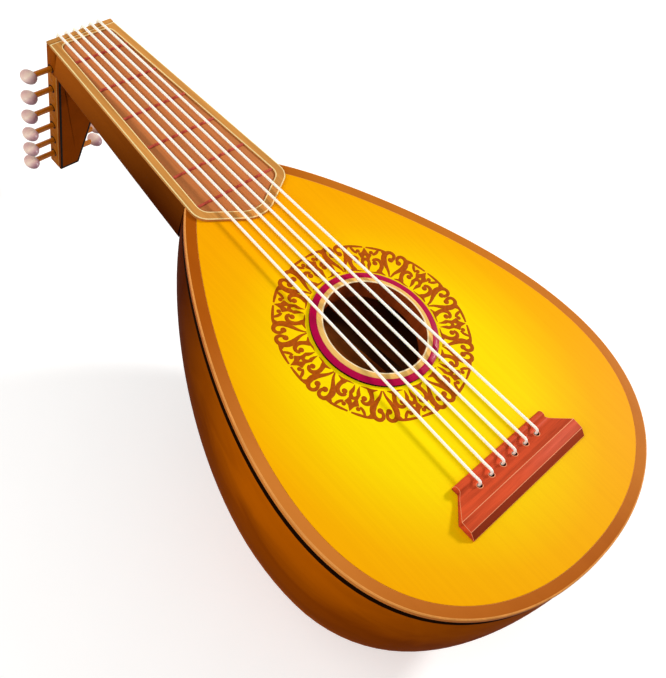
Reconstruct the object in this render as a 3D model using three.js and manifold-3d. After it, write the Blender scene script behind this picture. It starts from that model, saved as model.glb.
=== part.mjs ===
// A round-backed lute with six strings, lying on its back with its belly up.
// X runs across the belly to the treble side, Y along the strings to the pegbox, Z up.
// Lengths are in millimetres. The pieces are laid out from the middle of the soundhole,
// on the plane of the belly, and moved at the end so that the origin is below the middle.

import * as THREE from 'three'
import { mergeVertices } from 'three/addons/utils/BufferGeometryUtils.js'
import Module from 'manifold-3d'

const wasm = await Module()
wasm.setup()

// Clearances shared by the whole instrument
const seatGap = 0.3
const cutOverrun = 2
const cornerRoomShare = 0.45

// Small angles, in radians: a step that finds directions, and the ends of a search
const nudgeAngle = 1e-3
const searchMargin = 1e-2

// Belly outline: an egg with its narrow end at the neck
const bellyWidth = 300
const bellyLength = 394
const bellyCentreBehind = 19
const bellyCentreY = -bellyCentreBehind
const bellyFullnessShare = 0.94
const bellyTaperShare = 0.4
const outlineSteps = 72

// Bowl of seven ribs
const bowlDepth = 186
const bowlHeelDepth = 44
const bowlCurvePower = 2.3
const bowlBulgeShare = 0.1
const bowlRestFlatShare = 0.006
const bowlOverhang = 0.8
const ribCount = 7
const ribThickness = 2.4
const ribStripsAcross = 3
const ribStations = 20
const tailCapHalfWidth = 22

// Blocks and bars inside the body
const neckBlockLength = 39
const neckBlockStationShares = [0.24, 0.6, 1]
const neckBlockEndHalfWidth = 34
const neckBlockEndDepth = 26
const blockClearance = 0.8
const blockArcSteps = 12
const tailBlockThickness = 14
const barCount = 2
const barOffRings = 18
const barWidth = 6
const barHeight = 13
const barEndMargin = 1

// Soundboard with its binding
const soundboardThickness = 2
const bindingWidth = 9
const bindingThickness = 4
const bindingLedge = 3
const bindingRound = 1.2

// Soundhole, its deep liner and the two raised rings around it
const soundholeRadius = 38.5
const linerWall = 2.2
const linerDepth = 15
const tanRingWidth = 4.5
const tanRingInnerHeight = 3.6
const tanRingOuterHeight = 2.8
const crimsonRingWidth = 4.7
const crimsonRingEdgeHeight = 1
const ringSteps = 56
const tanRingOuterRadius = soundholeRadius + tanRingWidth
const crimsonRingInnerRadius = tanRingOuterRadius + seatGap
const crimsonRingOuterRadius = crimsonRingInnerRadius + crimsonRingWidth

// Neck
const neckLength = 182
const neckHeelHalfWidth = 44.4
const neckHeadHalfWidth = 30.2
const neckHeadThickness = 27
const neckHeelThickness = 38
const neckChamfer = 5
const tongueThickness = 7
const tongueRoot = 5

// Fingerboard: a frame that holds a sunk panel with six frets, and the nut
const nutLength = 4.5
const nutHeight = 2.7
const frameThickness = 2.2
const frameSideWidth = 7.3
const frameHeadWidth = 4
const frameCornerReach = 15
const frameTipReach = 35.5
const frameTipHalfWidth = 8
const frameCornerRadius = 9
const panelCornerRadius = 6
const panelThickness = 1
const fretShares = [0.867, 0.717, 0.57, 0.425, 0.278, 0.138]
const fretWidth = 2.4
const fretHeight = 0.9

// Pegbox, bent back from the nut
const pegboxLean = THREE.MathUtils.degToRad(2.4)
const pegboxLength = 145
const pegboxTipHalfWidth = 9.7
const pegboxDepth = 14.5
const pegboxWall = 4.2
const pegboxBack = 2.5
const pegboxEnd = 3.8

// Pegs: places along the pegbox from the nut edge, as shares of its length, and the
// distances from the outside of the wall to the middle of each head
const bassPegShares = [0.163, 0.326, 0.487, 0.641, 0.779, 0.901]
const treblePegShares = [0.244, 0.407, 0.564, 0.71, 0.831, 0.952]
const bassPegReaches = [20.2, 21, 21.8, 22, 22.3, 22.6]
const treblePegReaches = [20.2, 21, 21.8, 22, 18.6, 22.3]
const pegAxisSet = 5
const pegHeadEndRadius = 2.4
const pegFarEndRadius = 2
const pegHeadHalfLength = 6.6
const pegHeadHalfWidth = 7.8
const pegHeadHalfThickness = 4.2
const pegSocketDepth = 3
const pegSides = 12
const pegHeadSteps = [16, 8]

// Bridge
const bridgeHalfWidth = 64.5
const bridgeRollHalfWidth = 48.5
const bridgeRollBehind = 121.5
const bridgeRollY = -bridgeRollBehind
const bridgeRollRadius = 2.9
const bridgeRollTop = 6.2
const bridgeThroatBehind = 6
const bridgeThroatHeight = 3.6
const bridgeRidgeBehind = 17.5
const bridgeRidgeHeight = 6.3
const bridgeTailBehind = 26
const bridgeTailHeight = 5.6
const bridgeFootBehind = 31
const bridgeFootHeight = 1.2
const bridgeHoleBehind = 7.3
const bridgeHoleDepth = 2.4
const bridgeHoleSides = 10
const bridgeHoleY = bridgeRollY - bridgeHoleBehind

// Strings
const stringCount = 6
const stringRadius = 1.05
const stringBridgeSpacing = 13.1
const stringNutSpacing = 7.6
const stringSides = 8
const rollTouchDegrees = [65, 40, 20, 0]
const stringPegs = [
  ['bass', 0], ['bass', 2], ['bass', 4],
  ['treble', 4], ['treble', 2], ['treble', 0],
]

// Colours
const bellyYellow = 0xfbc400
const bindingBrown = 0xb4602a
const bowlBrown = 0x7a3a08
const innerWood = 0xc9a068
const linerBrown = 0x7c2f0c
const crimson = 0xaa0541
const tanWood = 0xd9a052
const panelBrown = 0xb4642f
const fretRed = 0xc04a3a
const bridgeRed = 0xc84a2c
const pegBrown = 0xbe6e14
const pegPearl = 0xc8a5a5
const stringCream = 0xfff6dc

// Small helpers
const range = (count) => Array.from({ length: count }, (_, index) => index)

const blend = (from, to, share) => from + (to - from) * share

function solve(measure, low, high) {
  // The place between low and high where a steady measure passes zero
  const rising = measure(high) > measure(low)
  for (let round = 0; round < 50; round += 1) {
    const middle = (low + high) / 2
    if (measure(middle) > 0 === rising) high = middle
    else low = middle
  }
  return (low + high) / 2
}

function material(colour, roughness = 0.45, metalness = 0) {
  return new THREE.MeshStandardMaterial({ color: colour, roughness, metalness })
}

function piece(name, geometry, colour, roughness) {
  const mesh = new THREE.Mesh(geometry, material(colour, roughness))
  mesh.name = name
  return mesh
}

function surface(points, triangles) {
  // A closed surface of points and triangles, turned so that its faces point out
  let volume = 0
  for (const [a, b, c] of triangles) {
    volume += points[a].dot(points[b].clone().cross(points[c]))
  }
  const turned = volume < 0 ? triangles.map(([a, b, c]) => [a, c, b]) : triangles
  const geometry = new THREE.BufferGeometry().setFromPoints(points)
  geometry.setIndex(turned.flat())
  geometry.computeVertexNormals()
  return geometry
}

function capTriangles(ring) {
  // Triangles that fill a flat ring of points, wound the same way as the ring
  const normal = new THREE.Vector3()
  ring.forEach((point, index) => normal.add(point.clone().cross(ring[(index + 1) % ring.length])))
  const across = ring[1].clone().sub(ring[0]).normalize()
  const up = normal.normalize().clone().cross(across).normalize()
  const flat = ring.map((point) => new THREE.Vector2(point.dot(across), point.dot(up)))
  const ringSign = Math.sign(THREE.ShapeUtils.area(flat))
  return THREE.ShapeUtils.triangulateShape(flat, []).map(([a, b, c]) => {
    const sign = Math.sign(THREE.ShapeUtils.area([flat[a], flat[b], flat[c]]))
    return sign === ringSign ? [a, b, c] : [a, c, b]
  })
}

function loft(rings) {
  // A closed solid through rings that all have the same number of points
  const count = rings[0].length
  const triangles = []
  for (const row of range(rings.length - 1)) {
    for (const index of range(count)) {
      const a = row * count + index
      const b = row * count + (index + 1) % count
      triangles.push([a, b, b + count], [a, b + count, a + count])
    }
  }
  const last = (rings.length - 1) * count
  for (const [a, b, c] of capTriangles(rings[0])) triangles.push([a, c, b])
  for (const [a, b, c] of capTriangles(rings.at(-1))) triangles.push([last + a, last + b, last + c])
  return surface(rings.flat(), triangles)
}

function shell(outer, inner) {
  // A closed plate between two grids of points with the same rows and columns
  const rows = outer.length
  const columns = outer[0].length
  const innerStart = rows * columns
  const at = (row, column) => row * columns + column
  const triangles = []
  const quad = (a, b, c, d) => triangles.push([a, b, c], [a, c, d])
  for (const row of range(rows - 1)) {
    for (const column of range(columns - 1)) {
      const corners = [at(row, column), at(row, column + 1), at(row + 1, column + 1), at(row + 1, column)]
      quad(...corners)
      quad(...corners.reverse().map((corner) => corner + innerStart))
    }
    const [left, leftNext] = [at(row, 0), at(row + 1, 0)]
    quad(left, leftNext, leftNext + innerStart, left + innerStart)
    const [right, rightNext] = [at(row, columns - 1), at(row + 1, columns - 1)]
    quad(rightNext, right, right + innerStart, rightNext + innerStart)
  }
  for (const column of range(columns - 1)) {
    const [head, headNext] = [at(0, column), at(0, column + 1)]
    quad(headNext, head, head + innerStart, headNext + innerStart)
    const [tail, tailNext] = [at(rows - 1, column), at(rows - 1, column + 1)]
    quad(tail, tailNext, tailNext + innerStart, tail + innerStart)
  }
  return surface([...outer.flat(), ...inner.flat()], triangles)
}

function slab(shape, thickness, bottom, curveSegments = 6) {
  // A flat outline in the XY plane, made thick upwards from its bottom
  const settings = { depth: thickness, bevelEnabled: false, curveSegments }
  return new THREE.ExtrudeGeometry(shape, settings).translate(0, 0, bottom)
}

function turned(profile, steps) {
  // A profile of [radius, height] pairs, turned about the Z axis
  const points = profile.map(([radius, height]) => new THREE.Vector2(radius, height))
  return new THREE.LatheGeometry(points, steps).rotateX(Math.PI / 2)
}

function toSolid(geometry) {
  const bare = geometry.clone()
  bare.deleteAttribute('normal')
  bare.deleteAttribute('uv')
  const merged = mergeVertices(bare)
  const vertProperties = new Float32Array(merged.attributes.position.array)
  const triVerts = new Uint32Array(merged.index.array)
  return new wasm.Manifold(new wasm.Mesh({ numProp: 3, vertProperties, triVerts }))
}

function fromSolid(solid) {
  const mesh = solid.getMesh()
  const geometry = new THREE.BufferGeometry()
  geometry.setAttribute('position', new THREE.BufferAttribute(mesh.vertProperties, 3))
  geometry.setIndex(new THREE.BufferAttribute(mesh.triVerts, 1))
  geometry.computeVertexNormals()
  return geometry
}

const joined = (first, ...others) => fromSolid(
  others.reduce((solid, other) => solid.add(toSolid(other)), toSolid(first)))

const cut = (first, ...others) => fromSolid(
  others.reduce((solid, other) => solid.subtract(toSolid(other)), toSolid(first)))

function barAlongX(radius, fromX, toX, y, z, sides) {
  // A round bar, used for cutting
  const bar = new THREE.CylinderGeometry(radius, radius, toX - fromX, sides).rotateZ(Math.PI / 2)
  return bar.translate((fromX + toX) / 2, y, z)
}

// Outline of the belly, by the angle at its centre from the neck towards the treble side
function eggShare(angle) {
  const sine = Math.sin(angle)
  const rounded = Math.sign(sine) * Math.abs(sine) ** bellyFullnessShare
  return rounded * (1 - bellyTaperShare * Math.cos(angle))
}

const eggSamples = range(outlineSteps * outlineSteps).map((step) => {
  const angle = Math.PI * step / (outlineSteps * outlineSteps)
  return { angle, share: eggShare(angle) }
})
const eggPeak = eggSamples.reduce((best, sample) => (sample.share > best.share ? sample : best))
const angleAt = (y, length = bellyLength) => Math.acos((y - bellyCentreY) / (length / 2))
const yAt = (angle, length = bellyLength) => bellyCentreY + length / 2 * Math.cos(angle)
const widestY = yAt(eggPeak.angle)

const outlineX = (angle, width = bellyWidth) => width / 2 * eggShare(angle) / eggPeak.share

function outlinePoint(angle, inset) {
  const at = (turn) => new THREE.Vector2(outlineX(turn), yAt(turn))
  const along = at(angle + nudgeAngle).sub(at(angle - nudgeAngle)).normalize()
  return at(angle).add(new THREE.Vector2(along.y, -along.x).multiplyScalar(inset))
}

function outlineRun(inset, endY) {
  // Points from the treble side of the neck, round the tail, to the bass side of the neck
  const start = solve((angle) => outlinePoint(angle, inset).y - endY, searchMargin, Math.PI / 2)
  return range(outlineSteps + 1).map((step) => {
    const angle = blend(start, 2 * Math.PI - start, step / outlineSteps)
    return outlinePoint(angle, inset)
  })
}

function halfWidthInside(y, inset) {
  // Half the width of the belly at a place, measured inside its outline
  const angle = solve(
    (turn) => outlinePoint(turn, inset).y - y, searchMargin, Math.PI - searchMargin)
  return outlinePoint(angle, inset).x
}

// The neck meets the body where the outline is as wide as the heel of the neck
const neckJointY = yAt(
  solve((angle) => outlineX(angle) - neckHeelHalfWidth, searchMargin, eggPeak.angle))
const headY = neckJointY + neckLength

// Surface of the bowl, by the outline angle and the angle around the bowl from the treble rim
const rimDrop = bindingThickness + seatGap
const bowlWidth = bellyWidth - 2 * bowlOverhang
const bowlLength = bellyLength - 2 * bowlOverhang
const bowlTailReach = widestY - (bellyCentreY - bowlLength / 2)
const heelShare = (bowlHeelDepth - rimDrop) / (bowlDepth - rimDrop)
const bowlNeckReach = (neckJointY - widestY)
  / (1 - heelShare ** bowlCurvePower) ** (1 / bowlCurvePower)
const ribAngle = Math.PI / ribCount
const keelFlatSine = Math.cos(ribAngle / ribStripsAcross / 2)

function depthShareAt(y) {
  const reach = y < widestY ? bowlTailReach : bowlNeckReach
  const along = Math.min(1, Math.abs(y - widestY) / reach)
  const curved = (1 - along ** bowlCurvePower) ** (1 / bowlCurvePower)
  return Math.min(1, curved * (1 + bowlRestFlatShare))
}

function bowlPoint(angle, around) {
  const y = yAt(angle, bowlLength)
  const side = Math.cos(around) + bowlBulgeShare * Math.sin(2 * around)
  const down = Math.min(1, Math.sin(around) / keelFlatSine)
  const depth = (bowlDepth - rimDrop) * depthShareAt(y)
  return new THREE.Vector3(outlineX(angle, bowlWidth) * side, y, -rimDrop - depth * down)
}

function bowlInside(angle, around, inset) {
  const at = (turn, lean) => bowlPoint(angle + turn, around + lean)
  const along = at(nudgeAngle, 0).sub(at(-nudgeAngle, 0))
  const across = at(0, nudgeAngle).sub(at(0, -nudgeAngle))
  const inward = across.cross(along).normalize()
  return at(0, 0).addScaledVector(inward, inset)
}

function bowlSection(y, inset) {
  // A level slice across the bowl, inside it by the inset
  return range(blockArcSteps + 1).map((step) => {
    const around = Math.PI * step / blockArcSteps
    const angle = solve(
      (turn) => bowlInside(turn, around, inset).y - y, searchMargin, Math.PI - searchMargin)
    const point = bowlInside(angle, around, inset)
    point.y = y
    point.z = Math.min(point.z, -rimDrop)
    return point
  })
}

// Body
function makeRib(index) {
  const headAngle = angleAt(neckJointY - seatGap, bowlLength)
  const tailAngle = solve(
    (angle) => outlineX(angle, bowlWidth) - tailCapHalfWidth, Math.PI / 2, Math.PI)
  const rowAt = (row, inset) => {
    const eased = (1 - Math.cos(Math.PI * row / ribStations)) / 2
    const angle = blend(headAngle, tailAngle, eased)
    const middle = (index + 0.5) * ribAngle
    const ahead = bowlPoint(angle, middle + nudgeAngle)
    const radius = ahead.distanceTo(bowlPoint(angle, middle - nudgeAngle)) / (2 * nudgeAngle)
    const gapAngle = seatGap / 2 / radius
    return range(ribStripsAcross + 1).map((column) => {
      const edge = (index + column / ribStripsAcross) * ribAngle
      const shift = column === 0 ? gapAngle : column === ribStripsAcross ? -gapAngle : 0
      return bowlInside(angle, edge + shift, inset)
    })
  }
  const outer = range(ribStations + 1).map((row) => rowAt(row, 0))
  const inner = range(ribStations + 1).map((row) => rowAt(row, ribThickness))
  return piece(`bowl_rib_${index + 1}`, shell(outer, inner), bowlBrown, 0.35)
}

function makeNeckBlock() {
  const clear = ribThickness + blockClearance
  const end = range(blockArcSteps + 1).map((step) => {
    const around = Math.PI * step / blockArcSteps
    const down = neckBlockEndDepth * Math.sin(around)
    return new THREE.Vector3(
      neckBlockEndHalfWidth * Math.cos(around), neckJointY - seatGap, -rimDrop - down)
  })
  const sections = neckBlockStationShares.map(
    (share) => bowlSection(neckJointY - neckBlockLength * share, clear))
  return piece('neck_block', loft([end, ...sections]), innerWood, 0.7)
}

function makeTailBlock() {
  // A block behind the ends of the ribs, with a plug that closes the hole between them
  const wall = ribThickness + blockClearance
  const plugRing = (halfWidth, deeper) => {
    const angle = solve((turn) => outlineX(turn, bowlWidth) - halfWidth, Math.PI / 2, Math.PI)
    return range(blockArcSteps + 1).map((step) => {
      const point = bowlPoint(angle, Math.PI * step / blockArcSteps)
      return point.setY(point.y + deeper)
    })
  }
  const plugHalfWidth = tailCapHalfWidth - seatGap
  const neckOfPlug = plugRing(plugHalfWidth, wall)
  const flangeY = neckOfPlug[0].y + blockClearance
  const flange = bowlSection(flangeY, wall)
  const back = flange.map((point) => point.clone().setY(point.y + tailBlockThickness))
  const face = [plugHalfWidth / 2, plugHalfWidth].map((halfWidth) => plugRing(halfWidth, 0))
  return piece('tail_block', loft([...face, neckOfPlug, flange, back]), bowlBrown, 0.5)
}

function makeBar(index) {
  // A bar under the soundboard, on the neck side or the tail side of the soundhole
  const y = (crimsonRingOuterRadius + barOffRings) * (index === 0 ? 1 : -1)
  const edges = [y - barWidth / 2, y + barWidth / 2]
  const room = Math.min(...edges.map((edge) => halfWidthInside(edge, bindingWidth + bindingLedge)))
  const box = new THREE.BoxGeometry(2 * (room - barEndMargin), barWidth, barHeight)
  box.translate(0, y, -soundboardThickness - seatGap - barHeight / 2)
  return piece(`soundboard_bar_${index + 1}`, box, innerWood, 0.7)
}

function makeSoundboard() {
  const run = outlineRun(bindingWidth + seatGap, neckJointY - seatGap)
  const shape = new THREE.Shape(run)
  const holeRadius = soundholeRadius + linerWall + seatGap
  shape.holes.push(new THREE.Path().absarc(0, 0, holeRadius, 0, 2 * Math.PI))
  const board = slab(shape, soundboardThickness, -soundboardThickness, ringSteps / 2)
  return piece('soundboard', board, bellyYellow, 0.3)
}

function makeBinding() {
  // The profile goes from its inner top edge, out over the rim and back under the soundboard
  const ledgeTop = -soundboardThickness - seatGap
  const profile = [
    [bindingWidth, ledgeTop],
    [bindingWidth, 0],
    [bindingRound, 0],
    [0, -bindingRound],
    [0, -bindingThickness],
    [bindingWidth + bindingLedge, -bindingThickness],
    [bindingWidth + bindingLedge, ledgeTop],
  ]
  const runs = profile.map(([inset, z]) => outlineRun(inset, neckJointY - seatGap)
    .map((point) => new THREE.Vector3(point.x, point.y, z)))
  const rings = range(outlineSteps + 1).map((step) => runs.map((run) => run[step]))
  return piece('binding', loft(rings), bindingBrown, 0.4)
}

function makeSoundholePieces() {
  const linerOuter = soundholeRadius + linerWall
  const liner = turned([
    [soundholeRadius, -linerDepth],
    [linerOuter, -linerDepth],
    [linerOuter, 0],
    [soundholeRadius, 0],
    [soundholeRadius, -linerDepth],
  ], ringSteps)
  const tanRing = turned([
    [soundholeRadius, seatGap],
    [tanRingOuterRadius, seatGap],
    [tanRingOuterRadius, tanRingOuterHeight],
    [soundholeRadius, tanRingInnerHeight],
    [soundholeRadius, seatGap],
  ], ringSteps)
  const crimsonRing = turned([
    [crimsonRingInnerRadius, seatGap],
    [crimsonRingOuterRadius, seatGap],
    [crimsonRingOuterRadius, crimsonRingEdgeHeight],
    [crimsonRingInnerRadius, tanRingOuterHeight],
    [crimsonRingInnerRadius, seatGap],
  ], ringSteps)
  return [
    piece('soundhole_liner', liner, linerBrown, 0.5),
    piece('soundhole_ring_inner', tanRing, tanWood, 0.4),
    piece('soundhole_ring_outer', crimsonRing, crimson, 0.35),
  ]
}

// Neck and fingerboard
const neckHalfWidthAt = (y) => blend(
  neckHeelHalfWidth, neckHeadHalfWidth, (y - neckJointY) / (headY - neckJointY))
const pegboxInnerHalfWidthAt = (place) => blend(
  neckHeadHalfWidth, pegboxTipHalfWidth, place / pegboxLength) - pegboxWall

function makeNeck() {
  const section = (halfWidth, thickness, yAt) => [
    [halfWidth, 0],
    [halfWidth, neckChamfer - thickness],
    [halfWidth - neckChamfer, -thickness],
    [neckChamfer - halfWidth, -thickness],
    [-halfWidth, neckChamfer - thickness],
    [-halfWidth, 0],
  ].map(([x, z]) => new THREE.Vector3(x, yAt(z), z))
  const headPlane = (z) => headY - (pegboxDepth + seatGap) / Math.cos(pegboxLean)
    - z * Math.tan(pegboxLean)
  const bar = loft([
    section(neckHeelHalfWidth, neckHeelThickness, () => neckJointY + seatGap),
    section(neckHalfWidthAt(headPlane(0)), neckHeadThickness, headPlane),
  ])
  const tongueStart = headPlane(0) - tongueRoot
  const tongueEnd = headY - 2 * seatGap
  const tongueHalfWidth = pegboxInnerHalfWidthAt(tongueThickness) - seatGap
  const tongue = new THREE.BoxGeometry(2 * tongueHalfWidth, tongueEnd - tongueStart, tongueThickness)
  tongue.translate(0, (tongueStart + tongueEnd) / 2, -tongueThickness / 2)
  return piece('neck', joined(bar, tongue), bowlBrown, 0.4)
}

function insetCorners(corners, insets) {
  // The corners of an outline after each side moves inwards by its own distance
  const count = corners.length
  const sides = corners.map((corner, index) => {
    const along = corners[(index + 1) % count].clone().sub(corner).normalize()
    const inward = new THREE.Vector2(-along.y, along.x)
    return { start: corner.clone().addScaledVector(inward, insets[index]), along }
  })
  return sides.map((side, index) => {
    const before = sides[(index + count - 1) % count]
    const gap = side.start.clone().sub(before.start)
    const travel = gap.cross(side.along) / before.along.cross(side.along)
    return before.start.clone().addScaledVector(before.along, travel)
  })
}

function roundedShape(corners, radii) {
  // An outline whose corners are rounded by distances along their sides, within the room there
  const count = corners.length
  const shape = new THREE.Shape()
  corners.forEach((corner, index) => {
    const toBefore = corners[(index + count - 1) % count].clone().sub(corner)
    const toNext = corners[(index + 1) % count].clone().sub(corner)
    const room = cornerRoomShare * Math.min(toBefore.length(), toNext.length())
    const reach = Math.min(radii[index], room)
    const from = corner.clone().addScaledVector(toBefore.normalize(), reach)
    const to = corner.clone().addScaledVector(toNext.normalize(), reach)
    if (index === 0) shape.moveTo(from.x, from.y)
    else shape.lineTo(from.x, from.y)
    if (reach > 0) shape.quadraticCurveTo(corner.x, corner.y, to.x, to.y)
  })
  shape.closePath()
  return shape
}

const frameTipY = neckJointY - frameTipReach
const frameHeadY = headY - nutLength - seatGap

function fingerboardCorners() {
  const cornerY = neckJointY - frameCornerReach
  const right = [
    new THREE.Vector2(frameTipHalfWidth, frameTipY),
    new THREE.Vector2(neckHalfWidthAt(cornerY), cornerY),
    new THREE.Vector2(neckHalfWidthAt(frameHeadY), frameHeadY),
  ]
  const left = right.map((corner) => new THREE.Vector2(-corner.x, corner.y)).reverse()
  return [...right, ...left]
}

function panelCorners(extra) {
  const side = frameSideWidth + extra
  return insetCorners(fingerboardCorners(), [side, side, frameHeadWidth + extra, side, side, side])
}

function makeFrame() {
  const endRadii = [frameCornerRadius, frameCornerRadius]
  const shape = roundedShape(fingerboardCorners(), [...endRadii, 0, 0, ...endRadii])
  const corners = panelCorners(0)
  shape.holes.push(roundedShape(corners, corners.map(() => panelCornerRadius)))
  return piece('fingerboard_frame', slab(shape, frameThickness, seatGap), tanWood, 0.4)
}

function makePanel() {
  const corners = panelCorners(seatGap)
  const shape = roundedShape(corners, corners.map(() => panelCornerRadius))
  return piece('fingerboard_panel', slab(shape, panelThickness, seatGap), panelBrown, 0.45)
}

function panelHalfWidthAt(y) {
  // Half the width of the panel, which is narrower near its tip than the neck below it
  const [tip, corner, head] = panelCorners(seatGap)
  const [low, high] = y < corner.y ? [tip, corner] : [corner, head]
  return blend(low.x, high.x, (y - low.y) / (high.y - low.y))
}

function makeFret(index) {
  const y = blend(frameTipY, headY, fretShares[index])
  const halfLength = Math.min(...[y - fretWidth / 2, y + fretWidth / 2].map(panelHalfWidthAt))
  const bottom = 2 * seatGap + panelThickness
  const profile = [
    [-fretWidth / 2, 0],
    [fretWidth / 2, 0],
    [fretWidth / 4, fretHeight],
    [-fretWidth / 4, fretHeight],
  ]
  const rings = [-halfLength, halfLength].map((x) => profile.map(
    ([along, up]) => new THREE.Vector3(x, y + along, bottom + up)))
  return piece(`fret_${index + 1}`, loft(rings), fretRed, 0.4)
}

function makeNut() {
  const round = nutLength / 4
  const profile = [
    [0, 0],
    [nutLength, 0],
    [nutLength, nutHeight - round],
    [nutLength - round, nutHeight],
    [0, nutHeight],
  ]
  const rings = [-neckHeadHalfWidth, neckHeadHalfWidth].map((x) => profile.map(
    ([along, up]) => new THREE.Vector3(x, headY - nutLength + along, seatGap + up)))
  return piece('nut', loft(rings), tanWood, 0.4)
}

// Pegbox, with its own origin at the nut edge and its length down its own -Z
const pegboxHalfWidthAt = (place) => pegboxInnerHalfWidthAt(place) + pegboxWall
const pegRadiusAt = (share) => blend(pegHeadEndRadius, pegFarEndRadius, share)

const pegPlaces = {
  bass: bassPegShares.map((share) => share * pegboxLength),
  treble: treblePegShares.map((share) => share * pegboxLength),
}
const pegReaches = { bass: bassPegReaches, treble: treblePegReaches }

function pegHole(place) {
  const radius = (pegHeadEndRadius + seatGap) / Math.cos(Math.PI / pegSides)
  const reach = neckHeadHalfWidth + cutOverrun
  return barAlongX(radius, -reach, reach, -pegAxisSet, -place, pegSides)
}

function makeWall(side) {
  const sign = side === 'bass' ? -1 : 1
  const frontY = 0
  const backY = -pegboxDepth + pegboxBack + seatGap
  const ringAt = (place) => {
    const outer = sign * pegboxHalfWidthAt(place)
    const inner = sign * pegboxInnerHalfWidthAt(place)
    return [[outer, frontY], [outer, backY], [inner, backY], [inner, frontY]].map(
      ([x, y]) => new THREE.Vector3(x, y, -place))
  }
  const holes = [...pegPlaces.bass, ...pegPlaces.treble].map(pegHole)
  const wall = cut(loft([ringAt(seatGap), ringAt(pegboxLength)]), ...holes)
  return piece(`pegbox_wall_${side}`, wall, bowlBrown, 0.4)
}

function makePegboxBack() {
  // The back plate covers the edges of the walls, and its end block stands between them
  const front = -pegboxDepth + pegboxBack
  const ringAt = (place, x, y) => [[x, y], [-x, y], [-x, -pegboxDepth], [x, -pegboxDepth]].map(
    ([across, along]) => new THREE.Vector3(across, along, -place))
  const plate = loft([seatGap, pegboxLength].map(
    (place) => ringAt(place, pegboxHalfWidthAt(place), front)))
  const end = loft([pegboxLength - pegboxEnd, pegboxLength].map(
    (place) => ringAt(place, pegboxInnerHalfWidthAt(place) - seatGap, 0)))
  const notchHalfWidth = pegboxInnerHalfWidthAt(tongueThickness)
  const notchDepth = tongueThickness + 2 * seatGap
  const notch = new THREE.BoxGeometry(2 * notchHalfWidth, 2 * pegboxDepth, 2 * notchDepth)
  notch.translate(0, -pegboxDepth, 0)
  return piece('pegbox_back', cut(joined(plate, end), notch), bowlBrown, 0.45)
}

function makePeg(side, index) {
  // The shaft and the head of one peg, whose head is on the named side
  const sign = side === 'bass' ? -1 : 1
  const place = pegPlaces[side][index]
  const wallX = pegboxHalfWidthAt(place)
  const headX = wallX + pegReaches[side][index]
  const shaftStart = headX - pegHeadHalfLength + pegSocketDepth
  const shaftLength = shaftStart + wallX - seatGap
  const shaft = new THREE.CylinderGeometry(pegRadiusAt(0), pegRadiusAt(1), shaftLength, pegSides)
  shaft.rotateZ(-sign * Math.PI / 2).translate(sign * (shaftStart - shaftLength / 2), 0, 0)
  const ball = new THREE.SphereGeometry(1, ...pegHeadSteps)
  ball.rotateZ(Math.PI / 2).scale(pegHeadHalfLength, pegHeadHalfWidth, pegHeadHalfThickness)
  ball.translate(sign * headX, 0, 0)
  const socketRadius = (pegHeadEndRadius + seatGap) / Math.cos(Math.PI / pegSides)
  const socketEnd = shaftStart + seatGap
  const fromX = Math.min(sign * wallX, sign * socketEnd)
  const toX = Math.max(sign * wallX, sign * socketEnd)
  const head = cut(ball, barAlongX(socketRadius, fromX, toX, 0, 0, pegSides))
  const name = `peg_${side}_${index + 1}`
  const peg = new THREE.Group()
  peg.add(piece(`${name}_shaft`, shaft, pegBrown, 0.3))
  peg.add(piece(`${name}_head`, head, pegPearl, 0.2))
  peg.position.set(0, -pegAxisSet, -place)
  return peg
}

// Bridge
function makeBridge() {
  const bottom = seatGap
  const roll = new THREE.CylinderGeometry(
    bridgeRollRadius, bridgeRollRadius, 2 * bridgeRollHalfWidth, 2 * bridgeHoleSides)
  roll.rotateZ(Math.PI / 2).translate(0, bridgeRollY, bridgeRollTop - bridgeRollRadius)
  const halfWidthBehind = (behind) => blend(bridgeRollHalfWidth, bridgeHalfWidth,
    THREE.MathUtils.inverseLerp(bridgeRollRadius, bridgeRidgeBehind, behind))
  const foot = new THREE.BoxGeometry(
    2 * bridgeRollHalfWidth, 2 * bridgeRollRadius, bridgeRollTop - bridgeRollRadius - bottom)
  foot.translate(0, bridgeRollY, (bridgeRollTop - bridgeRollRadius + bottom) / 2)
  const stations = [
    [0, bridgeRollHalfWidth, bridgeThroatHeight],
    [bridgeRollRadius, bridgeRollHalfWidth, bridgeThroatHeight],
    [bridgeThroatBehind, halfWidthBehind(bridgeThroatBehind), bridgeThroatHeight],
    [bridgeRidgeBehind, bridgeHalfWidth, bridgeRidgeHeight],
    [bridgeTailBehind, bridgeHalfWidth, bridgeTailHeight],
    [bridgeFootBehind, bridgeHalfWidth, bridgeFootHeight],
  ]
  const plate = loft(stations.map(([behind, x, top]) => [
    [x, bottom], [x, top], [-x, top], [-x, bottom],
  ].map(([across, z]) => new THREE.Vector3(across, bridgeRollY - behind, z))))
  const holes = range(stringCount).map((index) => {
    const radius = (stringRadius + seatGap) / Math.cos(Math.PI / bridgeHoleSides)
    const length = bridgeHoleDepth + cutOverrun
    const hole = new THREE.CylinderGeometry(radius, radius, length, bridgeHoleSides)
    hole.rotateX(Math.PI / 2)
    const floor = bridgeThroatHeight - bridgeHoleDepth
    return hole.translate(stringXAt(index, stringBridgeSpacing), bridgeHoleY, floor + length / 2)
  })
  return piece('bridge', cut(joined(plate, foot, roll), ...holes), bridgeRed, 0.4)
}

// Strings
const stringXAt = (index, spacing) => (index - (stringCount - 1) / 2) * spacing

function fromPegbox(x, y, place) {
  // A point of the leaning pegbox, in the frame of the whole instrument
  const point = new THREE.Vector3(x, y, -place)
  point.applyAxisAngle(new THREE.Vector3(1, 0, 0), pegboxLean)
  return point.add(new THREE.Vector3(0, headY, 0))
}

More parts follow.
